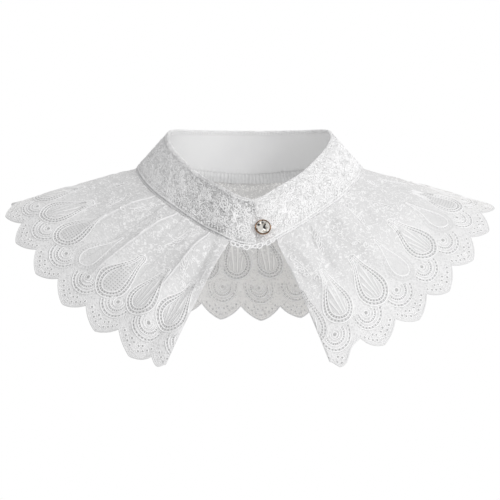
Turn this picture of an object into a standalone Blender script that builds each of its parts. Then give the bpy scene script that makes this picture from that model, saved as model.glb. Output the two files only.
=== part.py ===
"""Lace collar: a stand band that flares from the neck, a scalloped cape sewn under it, and one button.

Metres, +Z up. The front opening faces -Y and the origin is the middle of the neck seam.
Every cloth wall is an open surface worked out from the rings below, given its thickness by Solidify.
An angle runs round the collar from the front centre (0) over the -X side (90) to the back (180).
"""

from collections import namedtuple
from math import atan2, cos, degrees, exp, log, pi, radians, sin

import bmesh
import bpy
from mathutils import Matrix, Vector

for old in list(bpy.data.objects):
    bpy.data.objects.remove(old)

# ---------------------------------------------------------------- driving dimensions

OUTER_WALL = 0.0014        # embroidered cloth of the band
INNER_WALL = 0.0010        # plain facing of the band
CAPE_WALL = 0.0012         # embroidered cloth of the cape
SEAM_GAP = 0.0003          # daylight between neighbouring pieces

BAND_OVERLAP = 0.013       # how far the +X end of the band runs on under the -X end
BAND_END = 0.0036          # where the -X end stops, past the front centre
BAND_CORNER = 0.006        # radius of the upper corner of that end
LAP_START = 12.0           # angle up to which the -X end lies on the other end
LAP_EASE = 20.0            # angle over which it comes down from there

SEAM_EDGES = (12.0, 343.5)     # angles of the two front edges of the cape at the neck seam
HEM_EDGES = (26.6, 334.1)      # and at the hem
SWELL_PLACE = 0.42             # where along its depth the cape swells out most

FOLD_RISE = 0.22               # share of its depth over which a fold rises
FOLD_FADE = 0.40               # and over which it fades

SCALLOPS = 27.25           # scallops round the hem, the last ones cut off by the front edges
FIRST_SCALLOP = 0.625      # share of the first scallop that the front edge cuts away
EDGE_DEPTH = 0.35          # share of the depth that is left at a front edge
SCALLOP_DEPTH = 0.0120     # tip of a scallop below its notches
SCALLOP_STRAIGHT = 0.76    # share of a scallop's outline that runs straight to its tip, the rest is round
EDGE_EASE = 0.22           # scallops over which the hem draws up towards a front edge
FRONT_STRETCH = 0.03       # scallops are this share wider than average in front, and narrower behind
SIDE_STRETCH = 0.13        # and this share wider at the sides

BUTTON_X = 0.0098          # centre of the button beside the front centre
BUTTON_DROP = 0.69         # how far down the band it sits, as a share of the band's height
BUTTON_RADIUS = 0.0058
RIM_RADIUS = 0.0008        # roundness of the metal rim
CUP_HEIGHT = 0.0016        # metal cup that holds the stone
STONE_RADIUS = 0.0043
STONE_RISE = 0.0019        # height of the faceted stone above the rim
STONE_FACETS = 12
RIM_STEPS = 24
SHANK_RADIUS = 0.0012
SHANK_LENGTH = 0.0034      # from the band to the cup, room for the loop
LOOP_THREAD = 0.0005       # radius of the loop's cord
LOOP_RADIUS = 0.0023       # of the loop round the shank
LOOP_ROOT = 0.0054         # where the loop starts beside the front centre, at the band's end

COLUMNS_PER_SCALLOP = 8
CAPE_ROWS = 7
BAND_COLUMNS = 96
BAND_ROWS = 4

# One row for each station round half the collar; the other half mirrors it. Radii and heights are in
# millimetres: r is the distance from the upright axis, h the height above the neck seam's middle.
# swell is how far the cape bows out of the straight line from seam to hem, and droop is the share of a
# scallop's depth that hangs straight down.
Station = namedtuple("Station", "angle top_r top_h seam_r seam_h hem_r hem_h swell droop")
STATIONS = [
    Station(0, 53.5, 7.5, 66, -27.0, 127, -108, 3.5, 0.30),
    Station(25, 51.5, 18.0, 65, -16.0, 126, -105, 3.5, 0.30),
    Station(45, 52.5, 27.5, 68, -3.0, 129, -84.5, 3.5, 0.35),
    Station(65, 55.3, 40.0, 75, 11.5, 143, -57, 2.0, 0.30),
    Station(90, 59.4, 54.0, 83, 29.5, 170, -8, 0.5, 0.12),
    Station(103, 61.0, 60.0, 84, 34.0, 181, 9, 0.0, 0.08),
    Station(120, 63.5, 63.0, 82, 34.0, 173, -3, 1.0, 0.10),
    Station(145, 68.2, 64.5, 77, 31.0, 128, -61, 3.5, 0.40),
    Station(180, 70.0, 65.0, 75, 28.0, 106, -73, 4.0, 0.45),
]

# One row for each place where the hem is cut higher than the scallops ask for, in millimetres, or lower
# where depth is below zero. Phase counts the scallops along the hem; width is the half width in scallops.
Trim = namedtuple("Trim", "phase width depth")
TRIMS = [
    Trim(1.0, 0.40, -3.2),
    Trim(27.28, 0.28, 9.5),
]

# One row for each soft fold of the cape. Angles are where the fold leaves the seam and where it would
# meet the hem; width is its half width in degrees at the seam; height in millimetres, below zero for a
# trough; it starts to rise at start and has faded at end, where 0 is the seam and 1 the hem.
Fold = namedtuple("Fold", "at_seam at_hem width height start end")
FOLDS = [
    Fold(12, 28, 3.2, 2.0, -0.02, 1.20),
    Fold(18.5, 35, 3.0, -2.4, 0.01, 1.10),
    Fold(25, 42, 3.8, 3.4, -0.02, 1.05),
    Fold(36, 52, 4.8, -1.8, 0.01, 0.90),
    Fold(47.5, 64, 3.8, 3.8, -0.02, 1.00),
    Fold(56, 70, 3.6, -2.2, 0.01, 0.95),
    Fold(64.5, 77, 3.8, 3.0, -0.02, 0.80),
    Fold(74, 86, 4.5, -1.8, 0.01, 0.90),
    Fold(98, 98, 6.0, 1.4, 0.01, 1.00),
    Fold(112, 110, 6.0, -1.8, 0.11, 1.10),
    Fold(128, 124, 6.0, 2.8, 0.01, 1.30),
    Fold(146, 146, 6.0, -2.4, 0.06, 1.30),
    Fold(165, 163, 6.0, 2.6, 0.01, 1.30),
    Fold(190, 189, 6.5, -2.4, 0.06, 1.30),
    Fold(212, 214, 6.0, 2.8, 0.01, 1.30),
    Fold(236, 240, 6.0, -2.2, 0.06, 1.30),
    Fold(254, 256, 6.0, 0.6, 0.06, 1.10),
    Fold(268, 266, 6.0, -2.2, 0.01, 1.05),
    Fold(286, 277, 5.0, 1.8, -0.04, 1.05),
    Fold(300, 289, 4.5, -1.8, -0.02, 0.85),
    Fold(309, 300, 4.5, 2.8, -0.01, 1.05),
    Fold(326, 316, 3.2, -2.6, -0.02, 0.70),
    Fold(336, 322, 4.0, 2.2, 0.01, 1.10),
]

CLOTH = (0.86, 0.86, 0.85, 1.0)
FACING = (0.88, 0.88, 0.87, 1.0)
GOLD = (0.72, 0.46, 0.24, 1.0)
STONE = (0.80, 0.84, 0.88, 1.0)
MM = 0.001
UP = Vector((0, 0, 1))
LAP_LIFT = OUTER_WALL + INNER_WALL + 2 * SEAM_GAP


# ---------------------------------------------------------------- rings and surfaces

def smooth_step(t):
    t = min(max(t, 0.0), 1.0)
    return t * t * (3 - 2 * t)


def read_station(column, angle):
    """Value of one column at any angle: a smooth curve through the stations, mirrored and closed."""
    angle = angle % 360
    if angle > 180:
        angle = 360 - angle
    knots = [(-s.angle, getattr(s, column)) for s in STATIONS[2:0:-1]]
    knots += [(s.angle, getattr(s, column)) for s in STATIONS]
    knots += [(360 - s.angle, getattr(s, column)) for s in STATIONS[-2:-4:-1]]
    i = max(k for k in range(1, len(knots) - 2) if knots[k][0] <= angle or k == 1)
    (a0, v0), (a1, v1), (a2, v2), (a3, v3) = knots[i - 1:i + 3]
    t = (angle - a1) / (a2 - a1)
    slope1 = (v2 - v0) / (a2 - a0) * (a2 - a1)
    slope2 = (v3 - v1) / (a3 - a1) * (a2 - a1)
    return ((2 * t ** 3 - 3 * t ** 2 + 1) * v1 + (t ** 3 - 2 * t ** 2 + t) * slope1
            + (3 * t ** 2 - 2 * t ** 3) * v2 + (t ** 3 - t ** 2) * slope2)


def ring_point(ring, angle):
    """Point of the top, seam or hem ring at an angle."""
    r = read_station(ring + "_r", angle) * MM
    h = read_station(ring + "_h", angle) * MM
    return Vector((-r * sin(radians(angle)), -r * cos(radians(angle)), h))


def angles_by_length(ring, edges, count, front=0.0, side=0.0):
    """count + 1 angles between the two edges, evenly spaced along the ring.

    front widens the steps in front by that share and narrows them behind; side widens them at the sides.
    """
    fine = 720
    angles = [edges[0] + (edges[1] - edges[0]) * i / fine for i in range(fine + 1)]
    points = [ring_point(ring, a) for a in angles]
    reach = [0.0]
    for a, p, q in zip(angles, points, points[1:]):
        widening = 1 + front * cos(radians(a)) + side * sin(radians(a)) ** 4
        reach.append(reach[-1] + (q - p).length / widening)
    result = []
    k = 0
    for i in range(count + 1):
        target = reach[-1] * i / count
        while k < fine - 1 and reach[k + 1] < target:
            k += 1
        share = (target - reach[k]) / (reach[k + 1] - reach[k])
        result.append(angles[k] + (angles[k + 1] - angles[k]) * share)
    return result


def scallop(phase):
    """Share of the full depth at a place along the hem: 0 at a notch, 1 at a tip."""
    t = abs((phase % 1.0) - 0.5) * 2
    return 1 - SCALLOP_STRAIGHT * t ** 1.25 - (1 - SCALLOP_STRAIGHT) * t ** 3.2


def fold_height(seam_angle, hem_angle, v):
    """How far the folds move the cape out at a place."""
    total = 0.0
    for fold in FOLDS:
        angle = seam_angle + (hem_angle - seam_angle) * v
        middle = fold.at_seam + (fold.at_hem - fold.at_seam) * v
        across = (angle - middle) / fold.width
        rise = smooth_step((v - fold.start) / FOLD_RISE)
        fade = smooth_step((fold.end - v) / FOLD_FADE)
        total += fold.height * MM * exp(-across * across) * rise * fade
    return total


def cape_point(seam_angle, hem_angle, v, lobe):
    """Point of the cape: v is 0 at the seam and 1 at the notches, lobe lengthens it into a scallop.

    The upper edge keeps clear of the band's lower edge by as much as their bend asks for.
    """
    top = ring_point("seam", seam_angle)
    run = ring_point("hem", hem_angle) - top
    along = ring_point("hem", hem_angle + 1) - ring_point("hem", hem_angle - 1)
    along += ring_point("seam", seam_angle + 1) - ring_point("seam", seam_angle - 1)
    normal = along.cross(run).normalized()
    band_run = (top - ring_point("top", seam_angle)).normalized()
    bend = band_run.angle(run)
    start = (1.6 * SEAM_GAP + CAPE_WALL * sin(bend)) / cos(bend) / run.length
    reach = start + (1 - start) * v
    swell = read_station("swell", hem_angle) * MM * sin(pi * reach ** (log(0.5) / log(SWELL_PLACE)))
    lift = LAP_LIFT * lap_share(seam_angle) * (1 - v) ** 2
    drop = lobe * v ** 3
    point = top + run * reach + normal * (swell + fold_height(seam_angle, hem_angle, v) + lift)
    droop = read_station("droop", hem_angle)
    return point + (run.normalized() * (1 - droop) - UP * droop) * drop


def lap_share(turn):
    """1 where the -X end of the band lies on the other end, easing to 0 beyond it."""
    return smooth_step((LAP_START + LAP_EASE - turn) / LAP_EASE)


def band_base(turn, v):
    """Inner face of the facing: v is 0 at the band's top edge and 1 at the neck seam."""
    return ring_point("top", turn).lerp(ring_point("seam", turn), v)


def band_normal(turn, v):
    """Outward normal of the band."""
    along = band_base(turn + 0.5, v) - band_base(turn - 0.5, v)
    down = ring_point("seam", turn) - ring_point("top", turn)
    return along.cross(down).normalized()


def band_point(turn, v, out):
    """Point of the band; turn runs from under 0 to past 360, so that its ends overlap."""
    return band_base(turn, v) + band_normal(turn, v) * (out + LAP_LIFT * lap_share(turn))


# ---------------------------------------------------------------- building helpers

collection = bpy.data.collections.new("lace_collar")


def make_material(name, colour, roughness, metallic=0.0):
    material = bpy.data.materials.new(name)
    material.use_nodes = True
    shader = material.node_tree.nodes["Principled BSDF"]
    shader.inputs["Base Color"].default_value = colour
    shader.inputs["Roughness"].default_value = roughness
    shader.inputs["Metallic"].default_value = metallic
    material.diffuse_color = colour
    return material


def add_object(name, bm, material, smooth=True):
    mesh = bpy.data.meshes.new(name)
    bm.to_mesh(mesh)
    bm.free()
    if smooth:
        mesh.shade_smooth()
    mesh.materials.append(material)
    piece = bpy.data.objects.new(name, mesh)
    collection.objects.link(piece)
    return piece


def cloth_sheet(name, columns, rows, place, wall, material):
    """A grid moved on to place(column, v) and thickened outwards by wall."""
    bm = bmesh.new()
    bmesh.ops.create_grid(bm, x_segments=columns, y_segments=rows, size=0.5)
    for vert in bm.verts:
        column = round((vert.co.x + 0.5) * columns)
        vert.co = place(column, 0.5 - vert.co.y)
    bmesh.ops.reverse_faces(bm, faces=bm.faces)
    piece = add_object(name, bm, material)
    solid = piece.modifiers.new("wall", "SOLIDIFY")
    solid.thickness = wall
    solid.offset = 1.0
    return piece


# ---------------------------------------------------------------- the pieces

def make_cape(cloth):
    """The scalloped cape, one piece from front edge to front edge."""
    columns = round(SCALLOPS * COLUMNS_PER_SCALLOP)
    seam_angles = angles_by_length("seam", SEAM_EDGES, columns)
    hem_angles = angles_by_length("hem", HEM_EDGES, columns, FRONT_STRETCH, SIDE_STRETCH)

    def place(column, v):
        phase = FIRST_SCALLOP + column / COLUMNS_PER_SCALLOP
        from_edge = min(column, columns - column) / COLUMNS_PER_SCALLOP
        ease = EDGE_DEPTH + (1 - EDGE_DEPTH) * smooth_step(from_edge / EDGE_EASE)
        lobe = SCALLOP_DEPTH * scallop(phase) * ease
        for trim in TRIMS:
            lobe -= trim.depth * MM * exp(-((phase - trim.phase) / trim.width) ** 2)
        return cape_point(seam_angles[column], hem_angles[column], v, lobe)

    return cloth_sheet("cape", columns, CAPE_ROWS, place, CAPE_WALL, cloth)


def make_band(name, out, wall, material):
    """One layer of the stand band, from its -X end round the back to the tucked-under +X end."""
    radius = STATIONS[0].top_r * MM
    first = -degrees(atan2(BAND_END, radius))
    last = 360 + degrees(atan2(BAND_OVERLAP - BAND_END, radius))
    height = (ring_point("seam", 0) - ring_point("top", 0)).length

    def place(column, v):
        turn = first + (last - first) * column / BAND_COLUMNS
        short = max(BAND_CORNER - radians(turn - first) * radius, 0.0)
        drop = BAND_CORNER - (BAND_CORNER ** 2 - short ** 2) ** 0.5
        return band_point(turn, v + (1 - v) * drop / height, out)

    return cloth_sheet(name, BAND_COLUMNS, BAND_ROWS, place, wall, material)


def button_frame():
    """Matrix whose origin is where the button's shank leaves the band, with Z out of the band."""
    turn = 360 - degrees(atan2(BUTTON_X, STATIONS[0].seam_r * MM))
    foot = band_point(turn, BUTTON_DROP, INNER_WALL + SEAM_GAP + OUTER_WALL + SEAM_GAP)
    normal = band_normal(turn, BUTTON_DROP)
    side = UP.cross(normal).normalized()
    frame = Matrix((side, normal.cross(side), normal)).transposed().to_4x4()
    frame.translation = foot
    return frame


def turned(name, profile, steps, material, smooth=True):
    """A turned shape: (radius, height) points spun about Z, set on the button's frame."""
    bm = bmesh.new()
    verts = [bm.verts.new((r, 0, h)) for r, h in profile]
    for a, b in zip(verts, verts[1:]):
        bm.edges.new((a, b))
    piece = add_object(name, bm, material, smooth)
    screw = piece.modifiers.new("turn", "SCREW")
    screw.axis = "Z"
    screw.steps = steps
    screw.render_steps = steps
    screw.use_merge_vertices = True
    screw.merge_threshold = 0.00001
    screw.use_smooth_shade = smooth
    piece.matrix_world = button_frame()


def make_button(metal, glass):
    """A metal cup with a rounded rim on a shank, and the faceted stone it holds."""
    cup_floor = SHANK_LENGTH + CUP_HEIGHT * 0.45
    rim_middle = SHANK_LENGTH + CUP_HEIGHT - RIM_RADIUS
    rim = []
    for turn in range(150, -90, -40):
        across = BUTTON_RADIUS - RIM_RADIUS + RIM_RADIUS * cos(radians(turn))
        rim.append((across, rim_middle + RIM_RADIUS * sin(radians(turn))))
    inside = [(0.0, cup_floor), (BUTTON_RADIUS - 2 * RIM_RADIUS, cup_floor)]
    under = [(BUTTON_RADIUS * 0.72, SHANK_LENGTH), (SHANK_RADIUS, SHANK_LENGTH)]
    shank = [(SHANK_RADIUS, 0.0), (0.0, 0.0)]
    turned("button_rim", inside + rim + under + shank, RIM_STEPS, metal)
    seat = cup_floor + SEAM_GAP
    table = SHANK_LENGTH + CUP_HEIGHT + STONE_RISE
    stone = [
        (0.0, table),
        (STONE_RADIUS * 0.50, table - 0.0001),
        (STONE_RADIUS * 0.84, table - STONE_RISE * 0.55),
        (STONE_RADIUS, table - STONE_RISE),
        (STONE_RADIUS * 0.90, seat),
        (0.0, seat),
    ]
    turned("button_stone", stone, STONE_FACETS, glass, smooth=False)


def make_loop(material):
    """The sewn loop of cord that holds the band's end to the shank."""
    frame = button_frame()
    height = SHANK_LENGTH * 0.5
    root = LOOP_ROOT - BUTTON_X
    points = [(root, LOOP_RADIUS * 0.9), (root * 0.55, LOOP_RADIUS)]
    points += [(LOOP_RADIUS * sin(radians(t)), LOOP_RADIUS * cos(radians(t))) for t in range(0, 181, 20)]
    points += [(root * 0.55, -LOOP_RADIUS), (root, -LOOP_RADIUS * 0.9)]
    curve = bpy.data.curves.new("button_loop", "CURVE")
    curve.dimensions = "3D"
    curve.bevel_depth = LOOP_THREAD
    curve.bevel_resolution = 1
    curve.use_fill_caps = True
    curve.materials.append(material)
    spline = curve.splines.new("POLY")
    spline.points.add(len(points) - 1)
    for node, (x, y) in zip(spline.points, points):
        node.co = (x, y, height, 1)
    loop = bpy.data.objects.new("button_loop", curve)
    loop.matrix_world = frame
    collection.objects.link(loop)


bpy.context.scene.collection.children.link(collection)
lace = make_material("embroidered_cotton", CLOTH, 0.85)
plain = make_material("plain_cotton", FACING, 0.85)
make_cape(lace)
make_band("band_facing", 0.0, INNER_WALL, plain)
make_band("stand_band", INNER_WALL + SEAM_GAP, OUTER_WALL, lace)
make_button(make_material("rose_gold", GOLD, 0.25, 1.0), make_material("clear_stone", STONE, 0.05))
make_loop(plain)
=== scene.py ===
# %% [markdown]
# # A lace collar, dressed
# The part is a white cotton collar filled out as if worn: a stand band, a scalloped cape sewn under it
# and one jewelled button. Its solids are exact but plain. This script loads them as a fixed frame, keeps
# their box, and then puts finished cloth, embroidery and metal in their places without moving any.

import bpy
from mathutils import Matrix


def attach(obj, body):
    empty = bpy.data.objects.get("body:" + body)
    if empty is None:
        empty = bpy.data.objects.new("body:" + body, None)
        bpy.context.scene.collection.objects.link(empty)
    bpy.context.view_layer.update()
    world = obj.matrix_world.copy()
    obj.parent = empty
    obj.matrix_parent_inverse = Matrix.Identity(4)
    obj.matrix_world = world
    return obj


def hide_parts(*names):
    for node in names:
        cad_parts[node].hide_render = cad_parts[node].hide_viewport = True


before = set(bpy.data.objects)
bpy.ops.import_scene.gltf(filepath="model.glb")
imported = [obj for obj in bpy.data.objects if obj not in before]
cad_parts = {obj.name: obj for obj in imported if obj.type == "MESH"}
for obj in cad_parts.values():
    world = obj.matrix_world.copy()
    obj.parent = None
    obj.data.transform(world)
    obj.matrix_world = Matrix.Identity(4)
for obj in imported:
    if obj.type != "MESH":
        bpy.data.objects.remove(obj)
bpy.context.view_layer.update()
print("solids:", sorted(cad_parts))

# %% Blender's modules
from collections import namedtuple
from math import atan2, cos, degrees, log, pi, radians, sin

import bmesh
import bpy
import numpy as np
from mathutils import Matrix, Vector, noise

MM = 0.001
scene = bpy.context.scene

# %% [markdown]
# ## Camera
# A long lens, level and straight in front, keeps the band's ellipse nearly flat and the sides even.
# The focal length is kept in pixels of a 500 pixel picture and turned into the lens value Blender wants.

# %% Camera
PICTURE = 500
FOCAL_PIXELS = 2000
SENSOR_WIDTH = 36.0
CAMERA_PLACE = (0.0003, -1.5, -0.0282)


def add_object(name, data):
    thing = bpy.data.objects.new(name, data)
    scene.collection.objects.link(thing)
    return thing


camera_data = bpy.data.cameras.new("camera")
camera_data.sensor_width = SENSOR_WIDTH
camera_data.lens = FOCAL_PIXELS / PICTURE * SENSOR_WIDTH
camera = add_object("camera", camera_data)
camera.location = CAMERA_PLACE
camera.rotation_euler = (radians(90), 0, 0)
scene.camera = camera
print("lens:", camera_data.lens, "mm")

# %% [markdown]
# ## Studio
# White cloth on white needs little light and a clear direction. The world fills every shadow softly and
# looks white behind the collar. One large panel high on the right models the folds, and two weaker ones,
# above and in front, round them. A pale floor lies below; it stands for a table and isn't part of the
# collar. Lights and materials are made of nodes, so a small class first gives the usual ones short names.

# %% Nodes in few words
class NodeBook:
    """Adds nodes to one tree. Inputs are numbers, tuples or other nodes' outputs."""

    def __init__(self, tree):
        self.tree = tree

    def node(self, kind, inputs=None, **settings):
        made = self.tree.nodes.new(kind)
        for key, value in settings.items():
            setattr(made, key, value)
        for key, value in (inputs or {}).items():
            self.feed(made.inputs[key], value)
        return made

    def feed(self, socket, value):
        if isinstance(value, bpy.types.NodeSocket):
            self.tree.links.new(value, socket)
        else:
            socket.default_value = value

    def math(self, operation, *values):
        return self.node("ShaderNodeMath", dict(enumerate(values)), operation=operation).outputs[0]

    def chain(self, operation, first, *others):
        for other in others:
            first = self.math(operation, first, other)
        return first

    def times(self, *values):
        return self.chain("MULTIPLY", *values)

    def plus(self, *values):
        return self.chain("ADD", *values)

    def most(self, *values):
        return self.chain("MAXIMUM", *values)

    def less(self, first, second):
        return self.math("SUBTRACT", first, second)

    def flipped(self, mask):
        """0 where the mask is 1, and 1 where it is 0."""
        return self.less(1.0, mask)

    def weighted(self, parts):
        """The sum of masks, each times its own number."""
        return self.plus(*[self.times(mask, number) for mask, number in parts])

    def wave(self, value, pitch):
        """A sine with one wave in each pitch."""
        return self.math("SINE", self.times(value, 2 * pi / pitch))

    def ramp(self, value, low, high, start=0.0, end=1.0):
        """Soft step: start where value is low, end where it is high."""
        inputs = {"Value": value, "From Min": low, "From Max": high, "To Min": start, "To Max": end}
        return self.node("ShaderNodeMapRange", inputs, interpolation_type="SMOOTHSTEP").outputs[0]

    def line(self, value, centre, half_width):
        """1 on a line of that half width, fading to 0 beside it."""
        away = self.math("ABSOLUTE", self.less(value, centre))
        return self.ramp(away, half_width * 0.6, half_width * 1.3, 1.0, 0.0)

    def mix(self, share, colour_a, colour_b):
        inputs = {0: share, 6: colour_a, 7: colour_b}
        return self.node("ShaderNodeMix", inputs, data_type="RGBA").outputs[2]

    def layers(self, colour, coats):
        """Tones laid over a colour one after another, each by its share."""
        for share, tone in coats:
            colour = self.mix(share, colour, tone)
        return colour

    def split(self, vector):
        return self.node("ShaderNodeSeparateXYZ", {0: vector}).outputs

    def uv(self, name):
        return self.node("ShaderNodeUVMap", uv_map=name).outputs[0]

    def place(self):
        """Metres from the collar's origin."""
        return self.node("ShaderNodeTexCoord").outputs["Object"]

    def noise(self, place, scale, detail=2.0, distortion=0.0):
        inputs = {"Vector": place, "Scale": scale, "Detail": detail, "Distortion": distortion}
        return self.node("ShaderNodeTexNoise", inputs).outputs[0]

    def cells(self, place, scale, feature="F1"):
        """Distance to the middle or the edge of a cell in an uneven net."""
        inputs = {"Vector": place, "Scale": scale}
        return self.node("ShaderNodeTexVoronoi", inputs, feature=feature).outputs["Distance"]


# %% World
SKY_FILL = 0.613
SKY_BEHIND = 1.0

world = bpy.data.worlds.new("studio")
world.use_nodes = True
world.node_tree.nodes.clear()
book = NodeBook(world.node_tree)
seen = book.node("ShaderNodeLightPath").outputs["Is Camera Ray"]
strength = book.ramp(seen, 0.0, 1.0, SKY_FILL, SKY_BEHIND)
sky = book.node("ShaderNodeBackground", {"Color": (1, 1, 1, 1), "Strength": strength})
book.node("ShaderNodeOutputWorld", {"Surface": sky.outputs[0]})
scene.world = world
scene.view_settings.view_transform = "Standard"
print("sky:", SKY_FILL, "as light and", SKY_BEHIND, "to the camera")

# %% Lights
Panel = namedtuple("Panel", "name place size watts")
PANELS = [
    Panel("key", (1.30, -0.80, 0.95), 0.6, 9.4),
    Panel("top", (-0.45, 0.10, 1.60), 0.9, 4.0),
    Panel("front", (0.45, -1.60, -0.05), 0.8, 5.0),
]

for panel in PANELS:
    lamp_data = bpy.data.lights.new(panel.name, "AREA")
    lamp_data.size = panel.size
    lamp_data.energy = panel.watts
    lamp = add_object(panel.name, lamp_data)
    lamp.location = panel.place
    lamp.rotation_euler = Vector(panel.place).to_track_quat("Z", "Y").to_euler()
    lamp.visible_camera = False
print("lights:", [panel.name for panel in PANELS])

# %% [markdown]
# The floor is one wide face. It is built with bmesh, Blender's own mesh builder, which later also makes
# the grids of the cloths and the parts of the button.

# %% Floor
FLOOR_SIZE = 3.0
FLOOR_HEIGHT = -0.42
FLOOR_TONE = (0.9, 0.9, 0.9, 1)
FLOOR_ROUGHNESS = 0.9


def finished_mesh(name, bm):
    """A mesh of what bmesh has built."""
    mesh = bpy.data.meshes.new(name)
    bm.to_mesh(mesh)
    bm.free()
    return mesh


floor_material = bpy.data.materials.new("floor")
floor_material.use_nodes = True
floor_shader = floor_material.node_tree.nodes["Principled BSDF"]
floor_shader.inputs["Base Color"].default_value = FLOOR_TONE
floor_shader.inputs["Roughness"].default_value = FLOOR_ROUGHNESS
bm = bmesh.new()
bmesh.ops.create_grid(bm, x_segments=1, y_segments=1, size=FLOOR_SIZE / 2)
bmesh.ops.translate(bm, verts=bm.verts, vec=(0, 0, FLOOR_HEIGHT))
floor = add_object("floor", finished_mesh("floor", bm))
floor.data.materials.append(floor_material)
print("floor:", FLOOR_SIZE, "m wide")

# %% [markdown]
# ## The collar's surfaces
# Everything sewn here lies on two surfaces, the band and the cape. Both are worked out from three rings:
# the band's top edge, the neck seam and the hem. These are the same tables and functions that shape the
# solids, written for whole arrays of points at once, so that fine grids stay quick. An angle runs from
# the front centre (0) over the -X side (90) to the back (180).

# %% Driving dimensions
OUTER_WALL = 0.0014
INNER_WALL = 0.0010
CAPE_WALL = 0.0012
SEAM_GAP = 0.0003
UNDER_BAND = 1.6
LAP_LIFT = OUTER_WALL + INNER_WALL + 2 * SEAM_GAP
BAND_FACE = INNER_WALL + SEAM_GAP + OUTER_WALL

BAND_OVERLAP = 0.013
BAND_END = 0.0036
BAND_CORNER = 0.006
LAP_START = 12.0
LAP_EASE = 20.0

RING_STEPS = 721
SEAM_EDGES = (12.0, 343.5)
HEM_EDGES = (26.6, 334.1)
SWELL_PLACE = 0.42
FOLD_RISE = 0.22
FOLD_FADE = 0.40

SCALLOPS = 27.25
FIRST_SCALLOP = 0.625
EDGE_DEPTH = 0.35
SCALLOP_DEPTH = 0.0120
SCALLOP_STRAIGHT = 0.76
EDGE_EASE = 0.22
FRONT_STRETCH = 0.03
SIDE_STRETCH = 0.13
print("scallops:", SCALLOPS, "and band overlap:", BAND_OVERLAP, "m")

# %% Stations, trims and folds
Station = namedtuple("Station", "angle top_r top_h seam_r seam_h hem_r hem_h swell droop")
STATIONS = [
    Station(0, 53.5, 7.5, 66, -27.0, 127, -108, 3.5, 0.30),
    Station(25, 51.5, 18.0, 65, -16.0, 126, -105, 3.5, 0.30),
    Station(45, 52.5, 27.5, 68, -3.0, 129, -84.5, 3.5, 0.35),
    Station(65, 55.3, 40.0, 75, 11.5, 143, -57, 2.0, 0.30),
    Station(90, 59.4, 54.0, 83, 29.5, 170, -8, 0.5, 0.12),
    Station(103, 61.0, 60.0, 84, 34.0, 181, 9, 0.0, 0.08),
    Station(120, 63.5, 63.0, 82, 34.0, 173, -3, 1.0, 0.10),
    Station(145, 68.2, 64.5, 77, 31.0, 128, -61, 3.5, 0.40),
    Station(180, 70.0, 65.0, 75, 28.0, 106, -73, 4.0, 0.45),
]

# Where the hem is cut higher than its scallops ask for, in mm, or lower where depth is below zero.
Trim = namedtuple("Trim", "phase width depth")
TRIMS = [
    Trim(1.0, 0.40, -3.2),
    Trim(27.28, 0.28, 9.5),
]

Fold = namedtuple("Fold", "at_seam at_hem width height start end")
FOLDS = [
    Fold(12, 28, 3.2, 2.0, -0.02, 1.20),
    Fold(18.5, 35, 3.0, -2.4, 0.01, 1.10),
    Fold(25, 42, 3.8, 3.4, -0.02, 1.05),
    Fold(36, 52, 4.8, -1.8, 0.01, 0.90),
    Fold(47.5, 64, 3.8, 3.8, -0.02, 1.00),
    Fold(56, 70, 3.6, -2.2, 0.01, 0.95),
    Fold(64.5, 77, 3.8, 3.0, -0.02, 0.80),
    Fold(74, 86, 4.5, -1.8, 0.01, 0.90),
    Fold(98, 98, 6.0, 1.4, 0.01, 1.00),
    Fold(112, 110, 6.0, -1.8, 0.11, 1.10),
    Fold(128, 124, 6.0, 2.8, 0.01, 1.30),
    Fold(146, 146, 6.0, -2.4, 0.06, 1.30),
    Fold(165, 163, 6.0, 2.6, 0.01, 1.30),
    Fold(190, 189, 6.5, -2.4, 0.06, 1.30),
    Fold(212, 214, 6.0, 2.8, 0.01, 1.30),
    Fold(236, 240, 6.0, -2.2, 0.06, 1.30),
    Fold(254, 256, 6.0, 0.6, 0.06, 1.10),
    Fold(268, 266, 6.0, -2.2, 0.01, 1.05),
    Fold(286, 277, 5.0, 1.8, -0.04, 1.05),
    Fold(300, 289, 4.5, -1.8, -0.02, 0.85),
    Fold(309, 300, 4.5, 2.8, -0.01, 1.05),
    Fold(326, 316, 3.2, -2.6, -0.02, 0.70),
    Fold(336, 322, 4.0, 2.2, 0.01, 1.10),
]
print(len(STATIONS), "stations and", len(FOLDS), "broad folds")
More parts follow.
